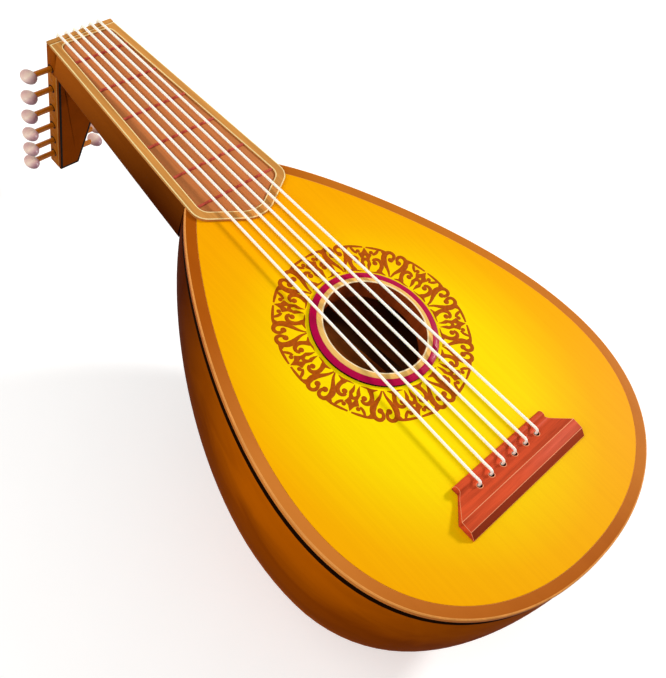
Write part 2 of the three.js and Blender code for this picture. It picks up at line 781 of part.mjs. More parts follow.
function tube(points, radius, sides) {
  // A round string through points that all lie close to one upright plane
  const rings = points.map((point, index) => {
    const before = points[Math.max(0, index - 1)]
    const after = points[Math.min(points.length - 1, index + 1)]
    const toHere = point.clone().sub(before).normalize()
    const fromHere = after.clone().sub(point).normalize()
    const along = toHere.add(fromHere).normalize()
    const across = new THREE.Vector3(1, 0, 0)
    const up = across.clone().cross(along).normalize()
    across.copy(along).cross(up)
    return range(sides).map((side) => {
      const angle = 2 * Math.PI * side / sides
      return point.clone()
        .addScaledVector(across, radius * Math.cos(angle))
        .addScaledVector(up, radius * Math.sin(angle))
    })
  })
  return loft(rings)
}

function stringRoute(index) {
  const bridgeX = stringXAt(index, stringBridgeSpacing)
  const nutX = stringXAt(index, stringNutSpacing)
  const clear = stringRadius + seatGap
  const rollCentreZ = bridgeRollTop - bridgeRollRadius
  const overRoll = rollTouchDegrees.map((degrees) => {
    const turn = THREE.MathUtils.degToRad(degrees)
    const reach = bridgeRollRadius + clear
    return new THREE.Vector3(
      bridgeX, bridgeRollY - reach * Math.sin(turn), rollCentreZ + reach * Math.cos(turn))
  })
  const holeFloor = bridgeThroatHeight - bridgeHoleDepth + seatGap
  const intoHole = [
    new THREE.Vector3(bridgeX, bridgeHoleY, holeFloor),
    new THREE.Vector3(bridgeX, bridgeHoleY, bridgeThroatHeight),
    new THREE.Vector3(bridgeX, bridgeHoleY + stringRadius / 2, bridgeThroatHeight + clear),
  ]
  const nutTop = nutHeight + seatGap + clear
  const overNut = [
    new THREE.Vector3(nutX, headY - nutLength / 4, nutTop),
    new THREE.Vector3(nutX, headY + clear * Math.sin(Math.PI / 4), nutTop - clear / 2),
    fromPegbox(nutX, clear, -nutHeight + clear),
  ]
  const [side, peg] = stringPegs[index]
  const atPeg = fromPegbox(nutX, -pegAxisSet + pegHeadEndRadius + clear, pegPlaces[side][peg])
  return [...intoHole, ...overRoll, ...overNut, atPeg]
}

function makeString(index) {
  const string = tube(stringRoute(index), stringRadius, stringSides)
  return piece(`string_${index + 1}`, string, stringCream, 0.35)
}

// The whole lute
const body = new THREE.Group()
body.add(makeSoundboard(), makeBinding(), ...makeSoundholePieces())
body.add(...range(ribCount).map(makeRib))
body.add(makeNeckBlock(), makeTailBlock(), ...range(barCount).map(makeBar))

const neck = new THREE.Group()
neck.add(makeNeck(), makeFrame(), makePanel(), makeNut())
neck.add(...range(fretShares.length).map(makeFret))

const pegbox = new THREE.Group()
pegbox.add(makeWall('bass'), makeWall('treble'), makePegboxBack())
for (const side of ['bass', 'treble']) {
  pegbox.add(...pegPlaces[side].map((_, index) => makePeg(side, index)))
}
pegbox.position.set(0, headY, 0)
pegbox.rotation.x = pegboxLean

const lute = new THREE.Group()
lute.add(body, neck, pegbox, makeBridge(), ...range(stringCount).map(makeString))

// Move the origin below the middle of the instrument, on the surface that it lies on
lute.updateMatrixWorld(true)
const box = new THREE.Box3().setFromObject(lute)
const middle = box.getCenter(new THREE.Vector3())
lute.position.set(-middle.x, -middle.y, -box.min.z)

const group = new THREE.Group()
group.add(lute)

export default group
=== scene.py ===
"""Looks of a round-backed lute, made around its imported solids. Lengths are in metres.

X runs across the belly to the treble side, Y along the strings to the pegbox, Z up.
Places on the body are written from the middle of the soundhole, on top of the belly.
"""

import math

import bmesh
import bpy
from bpy.props import FloatProperty, FloatVectorProperty, PointerProperty
from mathutils import Matrix, Vector


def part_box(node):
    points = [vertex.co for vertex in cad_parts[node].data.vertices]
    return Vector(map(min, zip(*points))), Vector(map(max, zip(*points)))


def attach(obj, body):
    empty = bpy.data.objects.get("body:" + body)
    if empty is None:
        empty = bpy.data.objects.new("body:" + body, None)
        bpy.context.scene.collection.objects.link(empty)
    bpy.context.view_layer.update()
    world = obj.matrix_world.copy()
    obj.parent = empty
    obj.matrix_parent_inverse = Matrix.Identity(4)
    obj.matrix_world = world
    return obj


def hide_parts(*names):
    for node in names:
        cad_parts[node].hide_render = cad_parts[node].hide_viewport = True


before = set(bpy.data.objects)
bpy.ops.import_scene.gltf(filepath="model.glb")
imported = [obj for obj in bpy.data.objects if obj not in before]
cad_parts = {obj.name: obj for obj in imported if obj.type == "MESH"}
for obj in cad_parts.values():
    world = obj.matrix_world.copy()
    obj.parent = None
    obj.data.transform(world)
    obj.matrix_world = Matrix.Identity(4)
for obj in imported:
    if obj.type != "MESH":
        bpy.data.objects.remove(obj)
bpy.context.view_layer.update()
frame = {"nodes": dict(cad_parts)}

bl_info = {
    "name": "Round-backed Lute",
    "version": (1, 0, 0),
    "blender": (4, 5, 0),
    "location": "View3D > Sidebar > Lute",
    "description": "Dresses the solids of a lute with its woods, strings, pegs and ornament",
    "category": "Add Mesh",
}

MM = 0.001
UP = Vector((0, 0, 1))

# The belly: an egg with its narrow end at the neck
BELLY_WIDTH = 300 * MM
BELLY_LENGTH = 394 * MM
BELLY_CENTRE_BEHIND = 19 * MM
BELLY_FULLNESS = 0.94
BELLY_TAPER = 0.4
BELLY_THICKNESS = 2 * MM
BINDING_WIDTH = 9 * MM
BINDING_THICKNESS = 4 * MM
BINDING_LEDGE = 3 * MM
SEAT_GAP = 0.3 * MM
NUDGE = 1e-3
EGG_STEPS = 288
EGG_SEARCH_STEPS = 5000
MERGE_DISTANCE = 1e-6
CURVE_MERGE_DISTANCE = 1e-7

# The bowl of ribs below it
BOWL_DEPTH = 186 * MM
BOWL_HEEL_DEPTH = 44 * MM
BOWL_CURVE = 2.3
BOWL_BULGE = 0.09
BOWL_REST = 0.006
BOWL_WIDTH = BELLY_WIDTH - 1.6 * MM
BOWL_LENGTH = BELLY_LENGTH - 1.6 * MM
RIM_DROP = BINDING_THICKNESS + SEAT_GAP
RIB_COUNT = 7
RIB_ANGLE = math.pi / RIB_COUNT
RIB_THICKNESS = 2.4 * MM
RIB_END_HALF_WIDTH = 22 * MM
BOWL_MIDDLE_BELOW = 60 * MM
# Faces along and across a rib, the tail cap and a lining strip
RIB_GRID, CAP_GRID, STRIP_GRID = (72, 12), (24, 48), (48, 3)
# How much sooner a lining strip ends than its ribs, as angles of the outline
STRIP_HEAD_CUT, STRIP_TAIL_CUT = 0.35, 0.25
STRIP_GAP, STRIP_THICKNESS = 0.05 * MM, 0.4 * MM
TAIL_BLOCK_DEPTH = 14 * MM
BLOCK_ROUND = 0.6 * MM
HALVINGS = 40

# The soundhole and its rings
HOLE_RADIUS = 38.5 * MM
LINER_WALL = 2.2 * MM
LINER_DEPTH = 15 * MM
TAN_RING_RADIUS = 43 * MM
CRIMSON_RING_RADIUS = 48 * MM
RING_STEPS = 192

# The bridge and the strings
BRIDGE_ROLL_BEHIND = 121.5 * MM
BRIDGE_ROLL_TOP = 6.2 * MM
BRIDGE_THROAT_TOP = 3.6 * MM
BRIDGE_HOLE_BEHIND = 128.8 * MM
BRIDGE_ROLL_HALF_WIDTH = 48.5 * MM
BRIDGE_HALF_WIDTH = 64.5 * MM
BRIDGE_WAIST_BEHIND = 2.9 * MM
BRIDGE_RIDGE_BEHIND = 17.5 * MM
# The bridge from the side: millimetres behind the middle of its roll, and above the belly
BRIDGE_PROFILE = [
    (31.0, 0.35), (31.0, 1.2), (26.0, 5.6), (17.5, 6.3), (8.0, 3.95), (6.4, 3.6), (5.0, 3.7),
    (3.9, 4.1), (3.0, 4.7), (2.3, 5.4), (1.4, 6.0), (0.5, 6.2), (-0.6, 6.15), (-1.5, 5.8),
    (-2.3, 5.1), (-2.75, 4.2), (-2.9, 3.3), (-2.9, 0.35)]
# Bodies turned round a string's hole: millimetres along its axis and away from it
HOLE_DRILL = [(-1.0, 0), (-1.0, 2.0), (3, 2.0), (3, 0)]
# A pale rim of painted highlight round the mouth of each string's hole
HOLE_RIM_HIGHLIGHT = [
    (-0.5, 2.0), (0.1, 2.0), (0.2, 2.15), (0.2, 2.4), (0.05, 2.6), (-0.5, 2.6), (-0.5, 2.0)]
# Dark discs of painted shade inside the string holes
HOLE_SHADE_DISC = [(-0.9, 0), (-0.9, 1.98), (-0.1, 1.98), (-0.1, 1.9), (-0.7, 1.9), (-0.7, 0)]
# How far a string's hole lies behind the string and above the throat, and where it faces
HOLE_SHIFT = Vector((0, -0.5 * MM, 0.4 * MM))
HOLE_WAY = Vector((0, 0.24, 1))
SMALL_STEPS = 32
STRING_COUNT = 6
STRING_BRIDGE_SPACING = 13.1 * MM
STRING_NUT_SPACING = 7.6 * MM
NUT_TOP = 3 * MM
WINDING_STEPS = 16
# From one turn of a string to the next, in radii of the string
WINDING_PITCH = 2.05

# For each string: its peg, the way along X that its turns run, and how many turns find room
STRING_PEGS = [
    ("bass", 1, 1, 2.4), ("bass", 3, 1, 2.4), ("bass", 5, -1, 1.4),
    ("treble", 5, 1, 1.2), ("treble", 3, -1, 2.4), ("treble", 1, -1, 2.4)]
# The hook of a string behind the roll: millimetres ahead of its hole, and above the belly
STRING_HOOK = [(0.0, 1.9), (0.0, 3.8), (0.05, 5.5), (0.7, 6.85), (2.2, 7.4), (4.4, 7.4)]
# Its bend over the nut: millimetres ahead of the nut's edge, and above its height there
STRING_BEND = [(-1.1, 0), (0.7, -0.5), (1.1, -2)]

# The neck, the pegbox and the pegs
FRET_NUMBERS = range(1, 7)
TRIM_ROUND = 0.25 * MM
PEGBOX_LEAN = math.radians(2.4)
WALL_TAPER = math.atan(20.5 / 145)
WALL_ROUND = 0.6 * MM
WALL_UNDER_NECK = 29 * MM
PEG_NUMBERS = range(1, 7)
# Bodies turned round a peg's axis, as at the string holes: the disc of wood over its far end,
# and the dark ring of painted shade where it enters the wall
PEG_PLUG = [(-0.5, 0), (-0.5, 2.6), (-0.02, 2.6), (-0.02, 3.0), (0.04, 2.9), (0.05, 0)]
PEG_SOCKET_SHADE = [
    (-0.4, 2.6), (0.1, 2.6), (0.25, 2.8), (0.25, 3.3), (-0.02, 3.7), (-0.4, 3.5), (-0.4, 2.6)]
SHAFT_GAP = 0.3 * MM
SHAFT_TAPER = 0.85
# Painted shade darkens a peg's head this way, and the head is a little flat
HEAD_SHADE_WAY = Vector((0.31, -0.83, -0.46))
HEAD_FLATNESS = 0.9
HEAD_TAPER = 0.12
HEAD_FIT = 0.99
# Painted highlight, shade and rim light on a head, from its side towards the neck to the one
# towards the tail: share of the way and colour code, or None for the colour of the heads
PEARL_LIGHT_AND_SHADE = [
    (0.03, "DCACA4"), (0.16, "F2CCBC"), (0.34, "FFE6CC"), (0.5, None), (0.66, "A0727C"),
    (0.88, "8C6474"), (0.965, "E6D2D4")]
PEARL_CLOUDS = [(0.35, "B890A0"), (0.5, None), (0.65, "F8E4CC")]

# The stage, in metres and degrees; the camera was fitted to the photograph
CAMERA_PLACE = (-0.4347, -0.2257, 0.7425)
CAMERA_AZIMUTH, CAMERA_ELEVATION, CAMERA_ROLL = -66.9, 51.8, 27.1
CAMERA_LENS = 54.59
SENSOR_WIDTH = 36
KEY_LIGHT_PLACE = (1.4, -0.35, 1.15)
KEY_LIGHT_SIZE = 0.28
FILL_LIGHT_PLACE = (-1.1, 0.5, 1.25)
FILL_LIGHT_SIZE = 1.2
LIGHTS_AIM = Vector((0, -0.05, 0.15))
HOLE_LIGHT_PLACE = (-0.41, -0.41, 1.26)
HOLE_LIGHT_ANGLE = 3.3
ROOM_LIGHT = 0.4
FLOOR_RADIUS = 4.0
# The floor's glow, near the object and far from it
FLOOR_GLOW_REACH = (0.7, 2.2)
FLOOR_GLOW = (0.4, 0.85)


def middle_of(node):
    low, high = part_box(node)
    return (low + high) / 2


def on_shaft(peg, x):
    """A point on the axis of a peg."""
    place = middle_of(f"{peg}_shaft")
    place.x = x
    return place


def belly_middle():
    """The middle of the soundhole, on top of the belly."""
    place = middle_of("soundhole_liner")
    place.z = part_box("soundhole_liner")[1].z
    return place


BELLY = belly_middle()
NECK_JOINT_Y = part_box("neck")[0].y - SEAT_GAP - BELLY.y
HEAD_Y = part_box("nut")[1].y - BELLY.y


def blend(start, end, share):
    return start + (end - start) * share


def paint(code):
    """A colour from its six-letter code, as Blender keeps colours."""
    parts = [int(code[index:index + 2], 16) / 255 for index in (0, 2, 4)]
    return tuple(
        part / 12.92 if part <= 0.04045 else ((part + 0.055) / 1.055) ** 2.4 for part in parts)


# Sizes and colours that can be changed


def length(name, description, default):
    return FloatProperty(
        name=name, description=description, default=default, min=0.0, unit="LENGTH", precision=5)


def colour(name, description, code):
    return FloatVectorProperty(
        name=name, description=description, default=paint(code), size=3, min=0.0, max=1.0,
        subtype="COLOR")


class LuteSizes(bpy.types.PropertyGroup):
    """Sizes of the details that the finish adds"""

    edge_round: length("Edge rounding", "Rounding of the back of the pegbox", 0.35 * MM)
    seam: length("Rib seam", "Width of the seam between two ribs", 0.1 * MM)
    strip_width: length("Lining strips", "Width of the strips over the seams inside", 11 * MM)
    string: length("String radius", "Radius of each string", 1.04 * MM)
    ornament_inner: length("Ornament start", "Radius where the ornament begins", 51 * MM)
    ornament_outer: length("Ornament end", "Radius of the ornament's outer line", 73.6 * MM)
    ornament_stroke: length("Ornament stroke", "Half the width of a stroke of share 1", 1.7 * MM)
    ornament_relief: length("Ornament relief", "How far the ornament stands up", 0.18 * MM)
    key_power: FloatProperty(
        name="Main light", description="Power of the light on the treble side", default=19.0,
        min=0.0, unit="POWER")
    fill_power: FloatProperty(
        name="Second light", description="Power of the soft light on the bass side", default=12.5,
        min=0.0, unit="POWER")
    hole_power: FloatProperty(
        name="Soundhole light", description="Power of the light through the soundhole",
        default=14.0, min=0.0, unit="POWER")


class LuteColours(bpy.types.PropertyGroup):
    """Colours of the woods, strings and ornament"""

    # Yellow varnish of the belly with a painted highlight: bright in the middle, darker at the
    # edge
    belly_middle: colour("Belly, middle", "Varnish in the middle of the belly", "FEE000")
    belly_edge: colour("Belly, edge", "Varnish at the edge of the belly", "F9A600")
    binding: colour("Binding", "Strip round the belly", "D07C30")
    # Painted shade near the neck and the tail, and painted light on the treble side
    binding_shade: colour("Binding, dark", "Strip near the neck and the tail", "AA5206")
    binding_treble_lit: colour("Binding, treble", "Strip on the treble side", "CA7620")
    # Painted highlight on the rounded outer edge of the binding
    binding_edge_highlight: colour("Binding edge", "Outer edge of the strip", "F0A050")
    # Lit and shaded tones of the ribs' varnish: the bowl's painted shade blends between them
    bowl_lit: colour("Bowl, light", "Varnish of the ribs near the rim", "BE5E00")
    bowl_shaded: colour("Bowl, dark", "Varnish of the ribs lower down", "6A2600")
    # Painted shadow under the binding: a dark band at the top of the ribs
    rim_shadow: colour("Rim line", "Dark line at the top of the ribs", "1A0A02")
    inside: colour("Inside", "Bare wood inside the body", "FF8C38")
    lining: colour("Lining strips", "Strips over the seams inside the body", "7A4A24")
    block: colour("Blocks", "Bare wood of the blocks and bars", "C9A068")
    liner: colour("Soundhole wall", "Wall of the soundhole", "A04418")
    crimson: colour("Crimson ring", "Outer ring of the soundhole", "AE0040")
    # Painted shade on the crimson ring's outer wall
    ring_foot_shade: colour("Ring foot", "Dark foot of the crimson ring", "160006")
    tan: colour("Tan ring", "Inner ring of the soundhole", "EFBE68")
    # Painted highlight on the inner edge of the tan ring
    tan_edge_highlight: colour("Cream lines", "Fine lines of pale wood", "FFE6B8")
    ornament: colour("Ornament", "Carved ornament round the soundhole", "AC4E02")
    # Near the pegbox, and the tone of the painted light towards the top of the neck
    neck_light: colour("Neck, light", "Varnish of the neck near the pegbox", "A85614")
    neck_dark: colour("Neck, dark", "Varnish of the neck near the body", "5A2200")
    pegbox_head: colour("Pegbox, top", "Stain of the walls beside the neck", "9A4A0A")
    pegbox_back: colour("Pegbox, back", "Stain of the back of the pegbox", "7C3604")
    # Painted shade: a black line where the back meets the walls
    pegbox_gap_shade: colour("Pegbox line", "Dark line round the back of the pegbox", "140A04")
    wall: colour("Pegbox walls", "Walls that hold the pegs", "C06C16")
    # Painted highlight on the rounded outer edges of the walls
    wall_edge_highlight: colour("Pegbox edges", "Edge lines of the pegbox walls", "D89850")
    frame: colour("Fingerboard frame", "Frame of the fingerboard", "D29046")
    # Painted highlight along the edges of the frame and the nut
    frame_edge_highlight: colour("Frame edge", "Edge lines of the frame", "FFE0A0")
    panel: colour("Fingerboard panel", "Sunk panel of the fingerboard", "C27642")
    fret: colour("Frets", "Red frets", "C0503E")
    bridge: colour("Bridge", "Bridge wood", "D4502C")
    # Painted highlight on the bridge's edges and round its string holes
    bridge_edge_highlight: colour("Bridge edge", "Edge lines of the bridge", "FFA074")
    # Painted shade: dark discs inside the bridge's holes
    string_hole: colour("String holes", "Dark linings of the bridge's holes", "300A04")
    # Painted shade: dark rings in the gaps where the pegs enter the walls
    peg_hole_shade: colour("Peg holes", "Dark rings where the pegs enter the walls", "2C1000")
    peg: colour("Peg shafts", "Turned shafts of the pegs", "CC7614")
    pearl: colour("Peg heads", "Heads of the pegs", "DCB6B0")
    string: colour("Strings", "Gut strings", "FFFAEA")
    # A painted glow: faint light given off by the strings
    string_painted_glow: colour("String glow", "Faint light of the strings", "FFF2D6")
    floor: colour("Floor", "Floor of the stage", "F2F2F0")


def sizes():
    return bpy.context.scene.lute_sizes


def colours():
    return bpy.context.scene.lute_colours


# Materials


def opaque(tint):
    return (*tint, 1.0)


def shaded(tint, factor):
    return tuple(min(1.0, part * factor) for part in tint)


def tints_between(first, second, shares):
    """Stops of a ramp: shares are (position, share of the second colour)."""
    return [(position, tuple(blend(one, two, share) for one, two in zip(first, second)))
            for position, share in shares]


class Finish:
    """A material in the making: its nodes and the links between them."""

    def __init__(self, name):
        self.material = bpy.data.materials.new(name)
        self.material.use_nodes = True
        self.tree = self.material.node_tree
        self.shader = self.tree.nodes["Principled BSDF"]
        self.place = self.add("ShaderNodeTexCoord").outputs["Object"]

    def add(self, kind, **settings):
        node = self.tree.nodes.new(kind)
        for name, value in settings.items():
            setattr(node, name, value)
        return node

    def join(self, value, socket):
        """Links an output to a socket, or writes a number or a colour on it."""
        if isinstance(value, bpy.types.NodeSocket):
            self.tree.links.new(value, socket)
        else:
            socket.default_value = value if isinstance(value, (int, float)) else opaque(value)

    def mapped(self, scale=(1, 1, 1), location=(0, 0, 0)):
        node = self.add("ShaderNodeMapping")
        self.join(self.place, node.inputs["Vector"])
        node.inputs["Scale"].default_value = scale
        node.inputs["Location"].default_value = location
        return node.outputs["Vector"]

    def axes(self):
        """The outputs X, Y and Z of the place on the object."""
        node = self.add("ShaderNodeSeparateXYZ")
        self.join(self.place, node.inputs["Vector"])
        return node.outputs

    def distance(self, vector):
        node = self.add("ShaderNodeVectorMath", operation="LENGTH")
        self.join(vector, node.inputs[0])
        return node.outputs["Value"]

    def reckon(self, operation, first, second):
        node = self.add("ShaderNodeMath", operation=operation)
        self.join(first, node.inputs[0])
        self.join(second, node.inputs[1])
        return node.outputs["Value"]

    def noise(self, vector, scale, detail=2.0, distortion=0.0):
        node = self.add("ShaderNodeTexNoise")
        self.join(vector, node.inputs["Vector"])
        node.inputs["Scale"].default_value = scale
        node.inputs["Detail"].default_value = detail
        node.inputs["Distortion"].default_value = distortion
        return node.outputs["Fac"]

    def ramp(self, value, stops):
        node = self.add("ShaderNodeValToRGB")
        self.join(value, node.inputs["Fac"])
        band = node.color_ramp
        band.elements[0].position, band.elements[1].position = stops[0][0], stops[-1][0]
        band.elements[0].color = opaque(stops[0][1])
        band.elements[1].color = opaque(stops[-1][1])
        for position, tint in stops[1:-1]:
            band.elements.new(position).color = opaque(tint)
        return node.outputs["Color"]

    def spread(self, value, low, high, to_low, to_high):
        """Maps a value from one range to another."""
        node = self.add("ShaderNodeMapRange")
        self.join(value, node.inputs["Value"])
        for name, number in zip(("From Min", "From Max", "To Min", "To Max"),
                                (low, high, to_low, to_high)):
            node.inputs[name].default_value = number
        return node.outputs["Result"]

    def mix(self, share, first, second, mode="MIX"):
        node = self.add("ShaderNodeMix", data_type="RGBA", blend_type=mode)
        self.join(share, node.inputs["Factor"])
        for value, name in ((first, "A"), (second, "B")):
            socket = [one for one in node.inputs if one.name == name and one.type == "RGBA"][0]
            self.join(value, socket)
        return [one for one in node.outputs if one.type == "RGBA"][0]

    def grained(self, tint, grain, share, low, high, shade):
        """Multiplies a colour by a shade where the grain is low."""
        lines = self.ramp(grain, [(low, shade), (high, (1, 1, 1))])
        return self.mix(share, tint, lines, "MULTIPLY")

    def bump(self, height, distance, strength):
        node = self.add("ShaderNodeBump")
        self.join(height, node.inputs["Height"])
        node.inputs["Distance"].default_value = distance
        node.inputs["Strength"].default_value = strength
        self.join(node.outputs["Normal"], self.shader.inputs["Normal"])

    def surface(self, base, roughness, coat=0.0, coat_roughness=0.1, specular=0.05):
        self.join(base, self.shader.inputs["Base Color"])
        self.join(roughness, self.shader.inputs["Roughness"])
        self.shader.inputs["Coat Weight"].default_value = coat
        self.shader.inputs["Coat Roughness"].default_value = coat_roughness
        self.shader.inputs["Specular IOR Level"].default_value = specular
        return self.material


GRAIN_SCALES = {"X": (0.05, 1, 1), "Y": (1, 0.05, 1), "Z": (1, 1, 0.05)}


def wood(name, light, dark, grain, fineness=110, coat=0.0, roughness=0.42, specular=0.03):
    """A varnished wood whose grain runs along one axis."""
    finish = Finish(name)
    lengthwise = finish.mapped(scale=GRAIN_SCALES[grain])
    streaks = finish.noise(lengthwise, fineness, detail=5.0, distortion=0.6)
    pores = finish.noise(lengthwise, fineness * 9)
    tint = finish.ramp(streaks, tints_between(dark, light, ((0.34, 0), (0.5, 0.6), (0.66, 1))))
    tint = finish.grained(tint, pores, 0.45, 0.35, 0.55, (0.78, 0.74, 0.7))
    finish.bump(pores, 0.05 * MM, 0.5)
    gloss = finish.spread(streaks, 0.3, 0.7, roughness + 0.08, roughness - 0.06)
    return finish.surface(tint, gloss, coat, 0.15, specular)


def belly_finish():
    """Spruce under a yellow varnish with a painted highlight in the middle; it darkens towards the
    edge.
    """
    finish = Finish("belly_varnish")
    tints = colours()
    # The painted highlight lies behind the soundhole and fades over these lengths
    across, along = 1 / (204 * MM), 1 / (230 * MM)
    centre = finish.mapped(
        scale=(across, along, 0),
        location=(-(BELLY.x - 5 * MM) * across, -(BELLY.y - 51 * MM) * along, 0))
    tint = finish.ramp(finish.distance(centre), tints_between(
        tints.belly_middle, tints.belly_edge,
        ((0.22, 0.0), (0.375, 0.12), (0.5, 0.5), (0.625, 0.82), (0.75, 0.94), (1.0, 1.0))))
    lengthwise = finish.mapped(scale=(1, 0.02, 1))
    grain = finish.noise(lengthwise, 520)
    tint = finish.grained(tint, grain, 0.3, 0.4, 0.6, (0.93, 0.88, 0.8))
    finish.bump(grain, 0.02 * MM, 0.3)
    return finish.surface(tint, 0.38, specular=0.02)


def bowl_finish():
    """Varnish on the ribs with painted shade: light at the rim, dark below it and at the ends,
    lighter again low.
    """
    finish = Finish("bowl_varnish")
    tints = colours()
    dark = tints.bowl_shaded
    lengthwise = finish.mapped(scale=GRAIN_SCALES["Y"])
    streaks = finish.noise(lengthwise, 60, detail=5.0, distortion=0.8)
    axes = finish.axes()
    height = finish.spread(axes["Z"], 0.0, BELLY.z, 0.0, 1.0)
    drift = finish.reckon("ADD", height, finish.spread(streaks, 0.3, 0.7, -0.03, 0.03))
    # Painted shade by height: light at the rim, dark below it, lighter again low
    tint = finish.ramp(drift, tints_between(
        dark, tints.bowl_lit,
        ((0.0, 0.8), (0.25, 0.85), (0.42, 0.75), (0.56, 0.25), (0.72, 0.3), (0.84, 0.8),
         (1.0, 1.0))))
    # Painted shade towards the neck, and on the upper ribs towards the tail
    neck_end_shade = finish.spread(axes["Y"], BELLY.y - 30 * MM, BELLY.y + 110 * MM, 0, 1)
    tint = finish.mix(neck_end_shade, tint, shaded(dark, 0.55))
    tail_end_shade = finish.spread(axes["Y"], BELLY.y - 100 * MM, BELLY.y - 200 * MM, 0, 0.6)
    upper_tail_shade = finish.reckon("MULTIPLY", tail_end_shade, finish.spread(height, 0.3, 0.6, 0.0, 1.0))
    tint = finish.mix(upper_tail_shade, tint, dark)
    tint = finish.grained(tint, streaks, 0.5, 0.3, 0.6, (0.82, 0.78, 0.74))
    finish.bump(finish.noise(lengthwise, 900), 0.03 * MM, 0.35)
    rim = BELLY.z - RIM_DROP
    # Painted shadow: a dark band on the ribs just under the overhanging binding
    rim_shadow = finish.spread(axes["Z"], rim - 5.4 * MM, rim - 5.0 * MM, 0, 1)
    tint = finish.mix(rim_shadow, tint, tints.rim_shadow)
    return finish.surface(tint, 0.4, specular=0.0005)


def binding_finish():
    """Smooth stained wood with painted shade at the neck and the tail, and browner painted light
    on the treble side.
    """
    finish = Finish("binding_stain")
    tints = colours()
    axes = finish.axes()
    along = finish.spread(axes["Y"], BELLY.y - 216 * MM, BELLY.y + 150 * MM, 0, 1)
    # Painted shade: darker towards the neck and the tail
    tint = finish.ramp(along, tints_between(
        tints.binding_shade, tints.binding,
        ((0.0, 0.25), (0.12, 0.5), (0.3, 0.95), (0.5, 1.0), (0.62, 0.65), (0.78, 0.1),
         (1.0, 0.0))))
    # Painted light on the treble side, in a browner tone
    treble = finish.spread(axes["X"], BELLY.x + 20 * MM, BELLY.x + 70 * MM, 0, 0.75)
    tint = finish.mix(treble, tint, tints.binding_treble_lit)
    streaks = finish.noise(finish.mapped(scale=GRAIN_SCALES["Y"]), 90, detail=4.0)
    tint = finish.grained(tint, streaks, 0.5, 0.35, 0.6, (0.9, 0.86, 0.82))
    finish.bump(streaks, 0.02 * MM, 0.3)
    return finish.surface(tint, 0.42, specular=0.02)


def inside_finish():
    """Bare wood inside the body, with painted shade that makes it nearly black towards the treble
    side.
    """
    finish = Finish("inside_wood")
    tint = colours().inside
    streaks = finish.noise(finish.mapped(scale=GRAIN_SCALES["Y"]), 70, detail=5.0, distortion=0.6)
    shade = finish.ramp(streaks, [(0.34, shaded(tint, 0.5)), (0.66, tint)])
    # Painted shade: nearly black towards the treble side
    treble = finish.spread(finish.axes()["X"], BELLY.x + 88 * MM, BELLY.x + 104 * MM, 0, 1)
    shade = finish.mix(treble, shade, shaded(tint, 0.12))
    finish.bump(streaks, 0.04 * MM, 0.4)
    return finish.surface(shade, 0.75, specular=0.02)


def neck_finish():
    """Dark varnish that is lighter towards the pegbox, with painted light that brightens it
    towards the top of the neck.
    """
    finish = Finish("neck_varnish")
    tints = colours()
    dark = shaded(tints.neck_dark, 0.62)
    axes = finish.axes()
    along = finish.spread(
        axes["Y"], BELLY.y + blend(NECK_JOINT_Y, HEAD_Y, 0.2), BELLY.y + HEAD_Y, 0.0, 0.8)
    # Painted light: lighter towards the top of the neck
    height = finish.spread(axes["Z"], BELLY.z - 26 * MM, BELLY.z, 0.0, 0.3)
    lengthwise = finish.mapped(scale=GRAIN_SCALES["Y"])
    streaks = finish.noise(lengthwise, 60, detail=5.0, distortion=0.6)
    tint = finish.mix(finish.reckon("ADD", along, height), dark, tints.neck_light)
    tint = finish.grained(tint, streaks, 0.6, 0.3, 0.6, (0.8, 0.76, 0.72))
    finish.bump(finish.noise(lengthwise, 700), 0.03 * MM, 0.35)
    return finish.surface(tint, 0.4, specular=0.001)


def plain_wood(name, tint, grain="Y", contrast=0.25, **settings):
    return wood(
        name, shaded(tint, 1 + contrast * 0.4), shaded(tint, 1 - contrast), grain, **settings)


def painted(name, tint, roughness=0.35, coat=0.0, mottle=0.12, scale=500, specular=0.05):
    """A lacquered or polished surface with a slight unevenness of colour and shine."""
    finish = Finish(name)
    cloud = finish.noise(finish.place, scale, detail=3.0)
    shade = finish.ramp(
        cloud, [(0.35, shaded(tint, 1 - mottle)), (0.65, shaded(tint, 1 + mottle))])
    finish.bump(cloud, 0.02 * MM, 0.4)
    return finish.surface(
        shade, finish.spread(cloud, 0.3, 0.7, roughness + 0.05, roughness - 0.05), coat, 0.1,
        specular)


def pearl_finish():
    """Clouded shell under a soft polish, with a painted highlight towards the neck and painted
    violet shade towards the tail.
    """
    finish = Finish("peg_pearl")

    def stops(shades):
        return [(share, paint(code) if code else colours().pearl) for share, code in shades]

    # Painted highlight, shade and rim light by the side of the head
    side = finish.add("ShaderNodeAttribute", attribute_name="tail_side").outputs["Fac"]
    shade = finish.ramp(finish.spread(side, -1.0, 1.0, 0.0, 1.0), stops(PEARL_LIGHT_AND_SHADE))
    cloud = finish.noise(finish.place, 90, distortion=1.2)
    shade = finish.mix(0.25, shade, finish.ramp(cloud, stops(PEARL_CLOUDS)))
    return finish.surface(shade, 0.35, coat=0.3, coat_roughness=0.25, specular=0.2)


